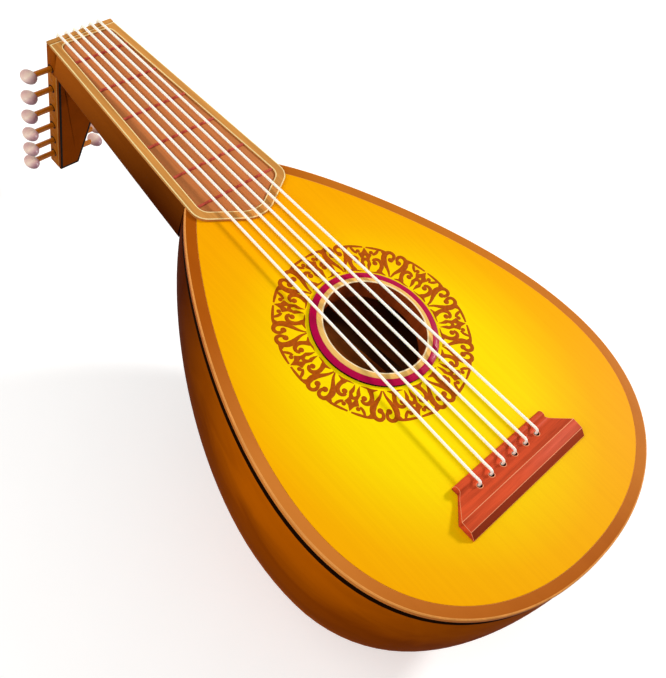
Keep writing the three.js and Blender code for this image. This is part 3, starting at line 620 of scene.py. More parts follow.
def string_finish():
    """Twisted gut that light shines through, with a faint painted glow that brightens it."""
    finish = Finish("string_gut")
    tint = colours().string
    twist = finish.add("ShaderNodeTexWave", bands_direction="DIAGONAL")
    finish.join(finish.mapped(), twist.inputs["Vector"])
    twist.inputs["Scale"].default_value = 320
    twist.inputs["Distortion"].default_value = 0.4
    shade = finish.ramp(twist.outputs["Fac"], [(0.0, shaded(tint, 0.97)), (1.0, tint)])
    finish.bump(twist.outputs["Fac"], 0.02 * MM, 0.15)
    # Painted light: a faint glow brightens the strings
    for name, value in (
            ("Subsurface Weight", 0.8), ("Subsurface Radius", (1, 0.95, 0.8)),
            ("Subsurface Scale", 2 * MM), ("Emission Color", opaque(colours().string_painted_glow)),
            ("Emission Strength", 0.1)):
        finish.shader.inputs[name].default_value = value
    return finish.surface(shade, 0.4, specular=0.3)


# Shapes


def added(name, data):
    """A new object in the scene."""
    item = bpy.data.objects.new(name, data)
    bpy.context.scene.collection.objects.link(item)
    return item


def meshed(name, bm):
    """A mesh out of a mesh in the making."""
    mesh = bpy.data.meshes.new(name)
    bm.to_mesh(mesh)
    bm.free()
    return mesh


def worked_out(helper):
    """A mesh in the making out of a helper object, with its modifier or its curve applied."""
    bpy.context.view_layer.update()
    mesh = bpy.data.meshes.new_from_object(
        helper.evaluated_get(bpy.context.evaluated_depsgraph_get()))
    bm = bmesh.new()
    bm.from_mesh(mesh)
    bpy.data.meshes.remove(mesh)
    return bm


def only(items, kind):
    return [item for item in items if isinstance(item, kind)]


def finished(name, bm, materials, replaces=(), body="lute", sharp=35):
    """Turns a mesh in the making into a piece that rides on a body."""
    mesh = meshed(name, bm)
    for material in materials:
        mesh.materials.append(material)
    mesh.shade_smooth()
    mesh.set_sharp_from_angle(angle=math.radians(sharp))
    piece = added(name, mesh)
    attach(piece, body)
    if replaces:
        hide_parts(*replaces)
    return piece


def closed(bm):
    """Merges doubles and turns the faces of a closed body outwards."""
    bmesh.ops.remove_doubles(bm, verts=bm.verts, dist=MERGE_DISTANCE)
    bmesh.ops.recalc_face_normals(bm, faces=bm.faces)


def rounded(bm, edges, width, segments, material=-1):
    bmesh.ops.bevel(
        bm, geom=edges, offset=width, offset_type="OFFSET", affect="EDGES", segments=segments,
        profile=0.5, material=material, clamp_overlap=True)


def sharp_edges(bm, angle=25, test=None):
    return [edge for edge in bm.edges
            if len(edge.link_faces) == 2 and edge.calc_face_angle(0) > math.radians(angle)
            and (test is None or test(edge))]


def solid_copy(node):
    """A copy of a solid's shape with its flat faces merged."""
    bm = bmesh.new()
    bm.from_mesh(frame["nodes"][node].data)
    bmesh.ops.remove_doubles(bm, verts=bm.verts, dist=MERGE_DISTANCE)
    bmesh.ops.dissolve_limit(
        bm, angle_limit=math.radians(1), verts=bm.verts, edges=bm.edges)
    return bm


def softened(node, materials, rounds):
    """A copy of a solid with rounded edges: rounds are (width, segments, test)."""
    bm = solid_copy(node)
    for width, segments, test in rounds:
        rounded(bm, sharp_edges(bm, test=test), width, segments)
    return finished(f"{node}_finished", bm, materials, (node,))


def gathered(bodies):
    """One mesh in the making out of several separate bodies."""
    whole = bmesh.new()
    for body in bodies:
        mesh = meshed("body", body)
        whole.from_mesh(mesh)
        bpy.data.meshes.remove(mesh)
    return whole


def drilled(bm, holes):
    """Takes the bodies of the holes out of a body."""
    blank, drill = added("blank", meshed("blank", bm)), added("drill", meshed("drill", holes))
    cut = blank.modifiers.new("holes", "BOOLEAN")
    cut.operation, cut.solver, cut.object = "DIFFERENCE", "EXACT", drill
    whole = worked_out(blank)
    for helper in (blank, drill):
        data = helper.data
        bpy.data.objects.remove(helper)
        bpy.data.meshes.remove(data)
    return whole


def paint_faces(piece, index, test):
    """Gives the faces that pass a test another of the piece's materials."""
    for face in piece.data.polygons:
        if test(face):
            face.material_index = index


def egg_share(angle):
    sine = math.sin(angle)
    return math.copysign(abs(sine) ** BELLY_FULLNESS, sine) * (1 - BELLY_TAPER * math.cos(angle))


EGG_PEAK = max(
    (math.pi * step / EGG_SEARCH_STEPS for step in range(EGG_SEARCH_STEPS + 1)), key=egg_share)


def outline_x(angle, width=BELLY_WIDTH):
    return width / 2 * egg_share(angle) / egg_share(EGG_PEAK)


def outline_y(angle, length=BELLY_LENGTH):
    return length / 2 * math.cos(angle) - BELLY_CENTRE_BEHIND


def outline_point(angle, inset, height=0.0):
    """A point inside the outline of the belly, by the angle from the neck to the treble side."""
    here = Vector((outline_x(angle), outline_y(angle)))
    ahead = Vector((outline_x(angle + NUDGE), outline_y(angle + NUDGE)))
    behind = Vector((outline_x(angle - NUDGE), outline_y(angle - NUDGE)))
    along = (ahead - behind).normalized()
    return BELLY + Vector((here.x + along.y * inset, here.y - along.x * inset, height))


def round_point(angle, radius, height=0.0):
    return BELLY + Vector((radius * math.sin(angle), radius * math.cos(angle), height))


def swept_ring(profile, place, steps):
    """A closed body whose profile of (distance, height) pairs runs once round the belly."""
    bm = bmesh.new()
    ring = bmesh.ops.create_circle(bm, cap_ends=False, segments=steps, radius=1.0)["verts"]
    edges = list(bm.edges)
    for index, (distance, height) in enumerate([*profile, profile[0]]):
        if index < len(profile):
            grown = bmesh.ops.extrude_edge_only(bm, edges=edges)["geom"]
            next_ring = only(grown, bmesh.types.BMVert)
            members = set(next_ring)
            edges = [edge for edge in only(grown, bmesh.types.BMEdge)
                     if members.issuperset(edge.verts)]
        for vert in ring:
            angle = math.atan2(vert.co.x, vert.co.y) % (2 * math.pi)
            vert.co = place(angle, distance, height)
        ring = next_ring
    closed(bm)
    return bm


def sliced(bm, place, way, **settings):
    """Cuts the faces of a body along a plane, and gives the new edges."""
    cut = bmesh.ops.bisect_plane(
        bm, geom=bm.verts[:] + bm.edges[:] + bm.faces[:], dist=MERGE_DISTANCE,
        plane_co=place, plane_no=way, **settings)
    return only(cut["geom_cut"], bmesh.types.BMEdge)


def cut_at(bm, y, keep_below=True):
    """Cuts off a body's end with a plane across the Y axis, and closes the cut."""
    edges = sliced(
        bm, (0, y, 0), (0, 1, 0), clear_outer=keep_below, clear_inner=not keep_below)
    bmesh.ops.holes_fill(bm, edges=edges, sides=0)
    bmesh.ops.recalc_face_normals(bm, faces=bm.faces)


def shell_sheet(columns, rows, place):
    """A closed body from a sheet: place(u, v, depth) gives its outer side and its inner side."""
    bm = bmesh.new()
    bmesh.ops.create_grid(bm, x_segments=columns, y_segments=rows, size=0.5)
    outer = list(bm.verts)
    grown = bmesh.ops.extrude_face_region(bm, geom=bm.faces[:] + bm.edges[:] + bm.verts[:])
    inner = set(only(grown["geom"], bmesh.types.BMVert))
    for vert in outer + list(inner):
        depth = 1 if vert in inner else 0
        vert.co = place(vert.co.x + 0.5, vert.co.y + 0.5, depth)
    closed(bm)
    return bm


def turned(profile, centre, axis, steps):
    """A turned body: its profile of (along, radius) pairs is spun about an axis through centre."""
    bm = bmesh.new()
    axis = Vector(axis).normalized()
    out = Vector((0, 0, 1)) if abs(axis.z) < 0.5 else Vector((0, 1, 0))
    out = (out - axis * out.dot(axis)).normalized()
    verts = [bm.verts.new(Vector(centre) + axis * along + out * radius)
             for along, radius in profile]
    edges = [bm.edges.new(pair) for pair in zip(verts, verts[1:])]
    bmesh.ops.spin(
        bm, geom=verts + edges, cent=centre, axis=axis, dvec=(0, 0, 0), angle=2 * math.pi,
        steps=steps, use_merge=True, use_duplicate=False)
    closed(bm)
    return bm


def repeated(profile, places):
    """One body turned at several places, each a centre and an axis. The profile is in mm."""
    profile = [(along * MM, radius * MM) for along, radius in profile]
    return gathered([turned(profile, *place, SMALL_STEPS) for place in places])


def bordered(bm, faces, width):
    """Gives a line of the second material along the border of some faces."""
    line = bmesh.ops.inset_region(
        bm, faces=faces, thickness=width, depth=0.0, use_boundary=True,
        use_even_offset=True)["faces"]
    for face in line:
        face.material_index = 1
    return line


def cord_curve(name, radius, roundness, fineness):
    """A curve whose lines are round cords."""
    data = bpy.data.curves.new(name, "CURVE")
    data.dimensions = "3D"
    data.bevel_depth = radius
    data.bevel_resolution = roundness
    data.resolution_u = fineness
    data.use_fill_caps = True
    return data


def add_line(data, points, widths):
    """Adds a smooth line to a curve, with a share of the cord's radius at each point."""
    spline = data.splines.new("BEZIER")
    spline.bezier_points.add(len(points) - 1)
    for knot, point, width in zip(spline.bezier_points, points, widths):
        knot.co = point
        knot.radius = width
        knot.handle_left_type = knot.handle_right_type = "AUTO"


def from_curve(name, data, material, replaces=(), body="lute", change=None):
    """Makes a mesh piece of a curve, then throws the curve away."""
    helper = added(f"{name}_line", data)
    bm = worked_out(helper)
    bpy.data.objects.remove(helper)
    bpy.data.curves.remove(data)
    bmesh.ops.remove_doubles(bm, verts=bm.verts, dist=CURVE_MERGE_DISTANCE)
    if change:
        change(bm)
    return finished(name, bm, [material], replaces, body, sharp=50)


# The bowl's surface, by the outline angle and the angle around it from the treble rim
WIDEST_Y = outline_y(EGG_PEAK)
TAIL_REACH = WIDEST_Y + BELLY_CENTRE_BEHIND + BOWL_LENGTH / 2
HEEL_SHARE = (BOWL_HEEL_DEPTH - RIM_DROP) / (BOWL_DEPTH - RIM_DROP)
NECK_REACH = (NECK_JOINT_Y - WIDEST_Y) / (1 - HEEL_SHARE ** BOWL_CURVE) ** (1 / BOWL_CURVE)
KEEL_FLAT = math.cos(RIB_ANGLE / 6)


def depth_share(y):
    reach = TAIL_REACH if y < WIDEST_Y else NECK_REACH
    along = min(1.0, abs(y - WIDEST_Y) / reach)
    return min(1.0, (1 - along ** BOWL_CURVE) ** (1 / BOWL_CURVE) * (1 + BOWL_REST))


def bowl_point(angle, around, inset=0.0):
    def surface(turn, lean):
        y = outline_y(turn, BOWL_LENGTH)
        side = math.cos(lean) + BOWL_BULGE * math.sin(2 * lean)
        down = min(1.0, math.sin(lean) / KEEL_FLAT)
        depth = (BOWL_DEPTH - RIM_DROP) * depth_share(y) * down
        return Vector((outline_x(turn, BOWL_WIDTH) * side, y, -RIM_DROP - depth))

    here = surface(angle, around)
    if inset:
        along = surface(angle + NUDGE, around) - surface(angle - NUDGE, around)
        across = surface(angle, around + NUDGE) - surface(angle, around - NUDGE)
        here += across.cross(along).normalized() * inset
    return BELLY + here


RIB_HEAD_ANGLE = math.acos(
    (NECK_JOINT_Y - SEAT_GAP + BELLY_CENTRE_BEHIND) / (BOWL_LENGTH / 2))


def angle_of_half_width(half_width):
    """The outline angle towards the tail where the bowl is that wide."""
    low, high = math.pi / 2, math.pi
    for _ in range(HALVINGS):
        middle = (low + high) / 2
        if outline_x(middle, BOWL_WIDTH) > half_width:
            low = middle
        else:
            high = middle
    return (low + high) / 2


RIB_TAIL_ANGLE = angle_of_half_width(RIB_END_HALF_WIDTH)


# The pieces


class LUTE_OT_belly(bpy.types.Operator):
    """Makes the soundboard and the binding round it"""

    bl_idname = "lute.belly"
    bl_label = "Soundboard and binding"

    def execute(self, context):
        tints = colours()
        inset = BINDING_WIDTH + SEAT_GAP / 2
        hole = HOLE_RADIUS + LINER_WALL + SEAT_GAP / 3

        def board_place(angle, share, height):
            edge = outline_point(angle, inset)
            turn = math.atan2(edge.x - BELLY.x, edge.y - BELLY.y)
            return round_point(turn, hole).lerp(edge, share) + UP * height

        board = swept_ring(
            [(0, 0), (0, -BELLY_THICKNESS), (1, -BELLY_THICKNESS), (1, 0)], board_place, EGG_STEPS)
        cut_at(board, BELLY.y + NECK_JOINT_Y - SEAT_GAP)
        finished("soundboard_varnished", board, [belly_finish()], ("soundboard",))

        round_in, ledge = 1.2 * MM, -BELLY_THICKNESS - SEAT_GAP
        edge = [(round_in * (1 - math.sin(turn)), -round_in * (1 - math.cos(turn)))
                for turn in (math.pi / 2 * step / 5 for step in range(6))]
        profile = [
            (BINDING_WIDTH, ledge), (BINDING_WIDTH, -0.25 * MM), (BINDING_WIDTH - 0.25 * MM, 0),
            *edge, (0, -BINDING_THICKNESS + 0.3 * MM), (0.3 * MM, -BINDING_THICKNESS),
            (BINDING_WIDTH + BINDING_LEDGE, -BINDING_THICKNESS),
            (BINDING_WIDTH + BINDING_LEDGE, ledge)]
        strip = swept_ring(profile, outline_point, EGG_STEPS)
        cut_at(strip, BELLY.y + NECK_JOINT_Y - SEAT_GAP)
        # Painted highlight: the rounded outer edge of the binding's top gets a paler wood
        for face in strip.faces:
            top = face.calc_center_median().z > BELLY.z - 1.0 * MM
            if top and 0.05 < face.normal.z < 0.995:
                face.material_index = 1
        woods = [binding_finish(), plain_wood("binding_edge_wood", tints.binding_edge_highlight, "Y", 0.15)]
        finished("binding_varnished", strip, woods, ("binding",))
        return {"FINISHED"}


class LUTE_OT_bowl(bpy.types.Operator):
    """Makes the ribs of the bowl, its tail cap, the blocks, bars and lining strips"""

    bl_idname = "lute.bowl"
    bl_label = "Bowl"

    def execute(self, context):
        woods = [bowl_finish(), inside_finish()]
        seam_angle = sizes().seam / 2 / (BELLY_WIDTH / 2)
        for index in range(RIB_COUNT):
            self.make_rib(index, seam_angle, woods)
        self.make_cap(woods)
        self.make_linings()
        pale = plain_wood("block_wood", colours().block, roughness=0.65)
        for node in ("neck_block", "soundboard_bar_1", "soundboard_bar_2"):
            softened(node, [pale], [(BLOCK_ROUND, 2, None)])
        self.make_tail_block(pale)
        return {"FINISHED"}

    def make_rib(self, index, seam_angle, woods):
        start, end = index * RIB_ANGLE + seam_angle, (index + 1) * RIB_ANGLE - seam_angle

        def place(u, v, depth):
            eased = (1 - math.cos(math.pi * u)) / 2
            angle = blend(RIB_HEAD_ANGLE, RIB_TAIL_ANGLE, eased)
            return bowl_point(angle, blend(start, end, v), depth * RIB_THICKNESS)

        rib = shell_sheet(*RIB_GRID, place)
        self.darken_inside(rib)
        node = f"bowl_rib_{index + 1}"
        finished(f"{node}_bent", rib, woods, (node,))

    def darken_inside(self, bm):
        """Gives the faces that look into the bowl the bare wood."""
        centre = BELLY - UP * BOWL_MIDDLE_BELOW
        for face in bm.faces:
            if face.normal.dot(face.calc_center_median() - centre) < 0:
                face.material_index = 1

    def make_cap(self, woods):
        """The cap that closes the bowl where the ribs end at the tail."""
        start, end = angle_of_half_width(RIB_END_HALF_WIDTH - 0.1 * MM), math.pi - 2 * NUDGE

        def place(u, v, depth):
            angle, around = blend(start, end, u), math.pi * v
            return bowl_point(angle, around) + Vector((0, depth * RIB_THICKNESS, 0))

        cap = shell_sheet(*CAP_GRID, place)
        self.darken_inside(cap)
        finished("tail_cap", cap, woods, ("tail_block",))

    def make_linings(self):
        """The strips glued over the seams of the ribs, inside the bowl."""
        half_angle = sizes().strip_width / 2 / (BELLY_WIDTH / 2)
        linen = painted("lining_strip", colours().lining, roughness=0.8, scale=900)
        for index in range(1, RIB_COUNT):
            def place(u, v, depth):
                angle = blend(RIB_HEAD_ANGLE + STRIP_HEAD_CUT, RIB_TAIL_ANGLE - STRIP_TAIL_CUT, u)
                around = index * RIB_ANGLE + half_angle * (2 * v - 1)
                inset = RIB_THICKNESS + STRIP_GAP + STRIP_THICKNESS * depth
                return bowl_point(angle, around, inset)

            finished(f"lining_strip_{index}", shell_sheet(*STRIP_GRID, place), [linen])

    def make_tail_block(self, material):
        """The block behind the ends of the ribs, without its plug, which the cap covers."""
        block = solid_copy("tail_block")
        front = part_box("tail_block")[1].y
        cut_at(block, front - TAIL_BLOCK_DEPTH + 0.2 * MM, keep_below=False)
        rounded(block, sharp_edges(block, 40), BLOCK_ROUND, 2)
        finished("tail_block_inside", block, [material], ("tail_block",))


class LUTE_OT_soundhole(bpy.types.Operator):
    """Makes the wall of the soundhole and the raised rings round it"""

    bl_idname = "lute.soundhole"
    bl_label = "Soundhole"

    def execute(self, context):
        tints = colours()
        outer = HOLE_RADIUS + LINER_WALL
        wall = swept_ring(
            [(HOLE_RADIUS, -LINER_DEPTH + 0.5 * MM), (HOLE_RADIUS + 0.5 * MM, -LINER_DEPTH),
             (outer, -LINER_DEPTH), (outer, 0), (HOLE_RADIUS, 0)], round_point, RING_STEPS)
        liner_wood = plain_wood("liner_wood", tints.liner, "Z", 0.3)
        finished("soundhole_wall", wall, [liner_wood], ("soundhole_liner",))
        low = SEAT_GAP / 3
        tan = swept_ring(
            [(HOLE_RADIUS, low), (TAN_RING_RADIUS, low), (TAN_RING_RADIUS, 2.6 * MM),
             (TAN_RING_RADIUS - 0.3 * MM, 2.85 * MM), (HOLE_RADIUS + 1.2 * MM, 3.55 * MM),
             (HOLE_RADIUS + 0.5 * MM, 3.55 * MM), (HOLE_RADIUS + 0.1 * MM, 3.3 * MM),
             (HOLE_RADIUS, 2.9 * MM)], round_point, RING_STEPS)
        for face in tan.faces:
            reach = (face.calc_center_median() - BELLY).xy.length
            if reach < HOLE_RADIUS + 0.05 * MM:
                face.material_index = 2
            # Painted highlight: a pale line on the tan ring's inner edge
            elif reach < HOLE_RADIUS + 1.2 * MM and face.normal.z > 0:
                face.material_index = 1
        woods = [plain_wood("tan_wood", tints.tan, "Y", 0.2, fineness=160),
                 plain_wood("cream_wood", tints.tan_edge_highlight, "Y", 0.08), liner_wood]
        finished("tan_ring", tan, woods, ("soundhole_ring_inner",))
        crimson = swept_ring(
            [(TAN_RING_RADIUS + 0.05 * MM, low), (CRIMSON_RING_RADIUS, low),
             (CRIMSON_RING_RADIUS, 1.8 * MM), (CRIMSON_RING_RADIUS - 0.25 * MM, 1.95 * MM),
             (TAN_RING_RADIUS + 1.0 * MM, 2.55 * MM), (TAN_RING_RADIUS + 0.4 * MM, 2.65 * MM),
             (TAN_RING_RADIUS + 0.05 * MM, 2.55 * MM)], round_point, RING_STEPS)
        lacquers = [painted("crimson_lacquer", tints.crimson, coat=0.04, mottle=0.06),
                    painted("ring_foot_black", tints.ring_foot_shade, roughness=0.5)]
        ring = finished("crimson_ring", crimson, lacquers, ("soundhole_ring_outer",))
        # Painted shade: the outer wall of the crimson ring is near black
        paint_faces(ring, 1, lambda face: abs(face.normal.z) < 0.3
                    and (face.center - BELLY).xy.length > CRIMSON_RING_RADIUS - 0.1 * MM)
        return {"FINISHED"}


# The ornament has nine hearts and nine leaves. A point is (degrees from the axis of the heart
# or leaf, share of the way from the inner to the outer radius, half width in millimetres).
ORNAMENT_UNITS = 9
HEART_STROKE = [
    (0.5, 0.0, 0.3), (2.2, 0.2, 0.6), (5.0, 0.42, 0.95), (7.0, 0.62, 1.4), (7.2, 0.8, 1.25),
    (6.0, 0.95, 1.0), (3.8, 1.02, 0.9), (1.7, 0.97, 0.85), (1.1, 0.84, 0.75), (1.7, 0.75, 0.8)]
HEART_BALL = (2.7, 0.71, 1.3)
SCROLL_FOOT = [
    (3.0, 0.0, 0.15), (8.0, 0.01, 0.45), (10.5, 0.06, 1.1), (13.5, 0.03, 0.55), (16.2, 0.0, 0.2)]
SCROLL_STROKE = [
    (10.4, 0.06, 1.2), (11.6, 0.2, 0.95), (12.0, 0.35, 1.0), (11.0, 0.48, 1.0),
    (8.6, 0.56, 0.9), (6.4, 0.53, 0.8), (5.5, 0.45, 0.75)]
SCROLL_BALL = (6.8, 0.39, 1.22)
HOOK_STROKE = [(8.6, 0.97, 0.5), (7.7, 0.86, 0.7), (6.4, 0.77, 0.65), (5.0, 0.74, 0.7)]
HOOK_BALL = (4.3, 0.81, 1.0)
RIM_STROKE = [(1.0, 1.0, 0.4), (5.0, 1.0, 0.62), (10.2, 1.0, 0.65), (13.8, 0.98, 0.5)]
SPUR_STROKE = [(11.0, 0.98, 0.65), (12.1, 0.86, 0.5), (12.7, 0.72, 0.15)]
LEAF_SIDE = [
    (0.0, 0.98), (1.1, 0.86), (1.9, 0.78), (4.6, 0.71), (3.7, 0.61), (3.0, 0.52), (3.4, 0.42),
    (4.1, 0.32), (2.8, 0.16), (1.9, 0.01), (1.0, 0.15), (0.8, 0.27), (1.5, 0.36), (0.5, 0.44)]
LEAF_HOLE = [(0.0, 0.67), (1.1, 0.56), (-1.1, 0.56)]


class LUTE_OT_ornament(bpy.types.Operator):
    """Makes the ring of hearts, scrolls and leaves round the soundhole"""

    bl_idname = "lute.ornament"
    bl_label = "Ornament"

    def execute(self, context):
        material = painted("ornament_stain", colours().ornament, roughness=0.6)
        strokes = cord_curve("ornament_strokes", sizes().ornament_stroke, 2, 5)
        for unit in range(ORNAMENT_UNITS):
            leaf_axis = 360 / ORNAMENT_UNITS * unit
            heart_axis = leaf_axis + 180 / ORNAMENT_UNITS
            for sign in (-1, 1):
                self.add_stroke(strokes, HEART_STROKE, heart_axis, sign)
                self.add_ball(strokes, HEART_BALL, heart_axis, sign)
                for stroke in (SCROLL_FOOT, SCROLL_STROKE, HOOK_STROKE, RIM_STROKE, SPUR_STROKE):
                    self.add_stroke(strokes, stroke, leaf_axis, sign)
                for ball in (SCROLL_BALL, HOOK_BALL):
                    self.add_ball(strokes, ball, leaf_axis, sign)
        from_curve("ornament_scrolls", strokes, material, change=self.flatten)
        leaves = bpy.data.curves.new("ornament_leaves", "CURVE")
        leaves.dimensions = "2D"
        leaves.fill_mode = "BOTH"
        leaves.extrude = sizes().ornament_relief
        leaves.resolution_u = 5
        for unit in range(ORNAMENT_UNITS):
            axis = 360 / ORNAMENT_UNITS * unit
            mirrored = [(-offset, share) for offset, share in reversed(LEAF_SIDE) if offset > 0]
            self.add_outline(leaves, LEAF_SIDE + mirrored, axis)
            self.add_outline(leaves, LEAF_HOLE, axis)
        from_curve("ornament_leaf_set", leaves, material, change=self.lift)
        return {"FINISHED"}

    def at(self, axis, offset, share):
        look = sizes()
        radius = blend(look.ornament_inner, look.ornament_outer, share)
        angle = math.radians(axis + offset)
        return Vector((radius * math.sin(angle), radius * math.cos(angle), 0))

    def add_stroke(self, data, points, axis, sign):
        add_line(data, [self.at(axis, sign * offset, share) for offset, share, _ in points],
                 [half_width for _, _, half_width in points])

    def add_ball(self, data, ball, axis, sign):
        """A round end of a scroll: a short line that is as thick as it is long."""
        offset, share, radius = ball
        centre, reach = self.at(axis, sign * offset, share), radius * data.bevel_depth
        spline = data.splines.new("POLY")
        turns = [-1, -0.92, -0.7, -0.38, 0, 0.38, 0.7, 0.92, 1]
        spline.points.add(len(turns) - 1)
        for knot, turn in zip(spline.points, turns):
            knot.co = (centre.x + turn * reach, centre.y, 0, 1)
            knot.radius = max(0.05, radius * math.sqrt(1 - turn * turn))

    def add_outline(self, data, points, axis):
        spline = data.splines.new("POLY")
        spline.use_cyclic_u = True
        spline.points.add(len(points) - 1)
        for knot, (offset, share) in zip(spline.points, points):
            knot.co = (*self.at(axis, offset, share), 1)

    def flatten(self, bm):
        """Presses the round strokes into a low relief on the belly."""
        look = sizes()
        bmesh.ops.scale(
            bm, verts=bm.verts, vec=(1, 1, 1.2 * look.ornament_relief / look.ornament_stroke))
        self.lift(bm)

    def lift(self, bm):
        bmesh.ops.translate(bm, verts=bm.verts, vec=BELLY)
        bmesh.ops.recalc_face_normals(bm, faces=bm.faces)


class LUTE_OT_neck(bpy.types.Operator):
    """Makes the neck and the fingerboard with its frame, panel, frets and nut"""

    bl_idname = "lute.neck"
    bl_label = "Neck and fingerboard"

    def execute(self, context):
        tints = colours()
        self.make_neck(neck_finish())
        frame_wood = plain_wood("frame_wood", tints.frame, contrast=0.22, fineness=120)
        frame_edge_highlight = plain_wood("frame_edge_wood", tints.frame_edge_highlight, "Y", 0.08)
        self.make_frame(frame_wood, frame_edge_highlight)
        softened("fingerboard_panel", [
            plain_wood("panel_wood", tints.panel, "Y", 0.26, fineness=60, roughness=0.4)],
            [(TRIM_ROUND, 2, None)])
        nut = softened("nut", [frame_wood, frame_edge_highlight], [(0.2 * MM, 2, None)])
        # Painted highlight on the nut's sloping front edge
        paint_faces(nut, 1, lambda face: face.normal.y > 0.3 and face.normal.z > 0.3)
        fret_wood = painted("fret_red", tints.fret, roughness=0.4)
        for number in FRET_NUMBERS:
            softened(f"fret_{number}", [fret_wood], [(TRIM_ROUND, 2, None)])
        return {"FINISHED"}

    def make_frame(self, wood_finish, highlight_finish):
        """The frame, with a pale line of painted highlight along each of the two edges of its top.
        """
        bm = solid_copy("fingerboard_frame")
        line = bordered(bm, [face for face in bm.faces if face.normal.z > 0.9], 0.95 * MM)
        rim = {edge for face in line for edge in face.edges}
        # The rounded edges of the pale lines get the same painted highlight
        rounded(bm, sharp_edges(bm, 60, lambda edge: edge in rim), 0.3 * MM, 2, 1)
        finished("fingerboard_frame_finished", bm, [wood_finish, highlight_finish],
                 ("fingerboard_frame",))

    def make_neck(self, material):
        deep, long = BELLY.z - 10 * MM, 60 * MM

        def low_edge(edge):
            return edge.calc_length() > long and max(vert.co.z for vert in edge.verts) < deep

        def top_edge(edge):
            return edge.calc_length() > long and min(vert.co.z for vert in edge.verts) > deep

        softened("neck", [material], [
            (4.0 * MM, 5, low_edge), (0.6 * MM, 2, top_edge)])


class LUTE_OT_pegbox(bpy.types.Operator):
    """Makes the walls and the back of the pegbox"""

    bl_idname = "lute.pegbox"
    bl_label = "Pegbox"

    def execute(self, context):
        tints = colours()
        walls = wood("pegbox_wood", tints.wall, shaded(tints.wall, 0.6), "Z", 70, specular=0.01)
        # Paler wood for the painted highlight on the walls' edges
        line = plain_wood("pegbox_edge_wood", tints.wall_edge_highlight, "Z", 0.12)
        head = plain_wood("pegbox_head_wood", tints.pegbox_head, "Z", 0.2, specular=0.001)
        # Painted shade in the gap where each peg enters its wall
        socket = painted("peg_hole_black", tints.peg_hole_shade, roughness=0.6)
        for side, other, sign in (("bass", "treble", -1), ("treble", "bass", 1)):
            self.make_wall(side, sign, [walls, line, head])
            finished(f"peg_plugs_{side}", repeated(PEG_PLUG, self.wall_places(other, sign)),
                     [walls])
            finished(f"peg_sockets_{side}", repeated(PEG_SOCKET_SHADE, self.wall_places(side, sign)),
                     [socket])
        self.make_back([
            painted("pegbox_back_stain", tints.pegbox_back, roughness=0.5, mottle=0.05, scale=60,
                    specular=0.001),
            painted("pegbox_line_black", tints.pegbox_gap_shade, roughness=0.6)])
        return {"FINISHED"}

    def make_back(self, woods):
        """The back of the pegbox, with a black line of painted shade round its outer face."""
        bm = solid_copy("pegbox_back")
        face = min(bm.faces, key=lambda face: face.normal.y * face.calc_area())
        # Painted shade: a black line round the outer face, for the gap to the walls
        bordered(bm, [face], 2.3 * MM)
        edges = sharp_edges(bm, 25, lambda edge: edge.calc_length() > 30 * MM)
        rounded(bm, edges, sizes().edge_round, 2)
        finished("pegbox_back_finished", bm, woods, ("pegbox_back",))

    def make_wall(self, side, sign, woods):
        """A wall with a pale painted highlight on its outer edges, darker beside the neck."""
        node = f"pegbox_wall_{side}"
        bm = solid_copy(node)
        under_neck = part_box("neck")[1].z - WALL_UNDER_NECK
        sliced(bm, (0, 0, under_neck), UP)

        def long_edge(edge):
            return edge.calc_length() > 15 * MM

        def outer_edge(edge):
            return long_edge(edge) and any(
                face.normal.x * sign > 0.9 for face in edge.link_faces)

        # Painted highlight on the rounded outer edges
        rounded(bm, sharp_edges(bm, 25, outer_edge), WALL_ROUND, 2, 1)
        rounded(bm, sharp_edges(bm, 60, long_edge), WALL_ROUND, 2)
        wall = finished(f"{node}_finished", bm, woods, (node,))
        middle_y = middle_of(node).y
        paint_faces(wall, 2, lambda face: face.center.z > under_neck
                    and (face.material_index == 0 or face.center.y < middle_y))

    def wall_places(self, peg_side, sign):
        """Where the pegs of a side pass the outside of the sign's wall, and how it faces."""
        face = Vector((sign * math.cos(WALL_TAPER), 0, -math.sin(WALL_TAPER)))
        outward = Matrix.Rotation(PEGBOX_LEAN, 3, "X") @ face
        places = []
        for number in PEG_NUMBERS:
            low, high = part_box(f"peg_{peg_side}_{number}_shaft")
            reach = min(abs(low.x), abs(high.x)) + SHAFT_GAP
            places.append((on_shaft(f"peg_{peg_side}_{number}", sign * reach), outward))
        return places


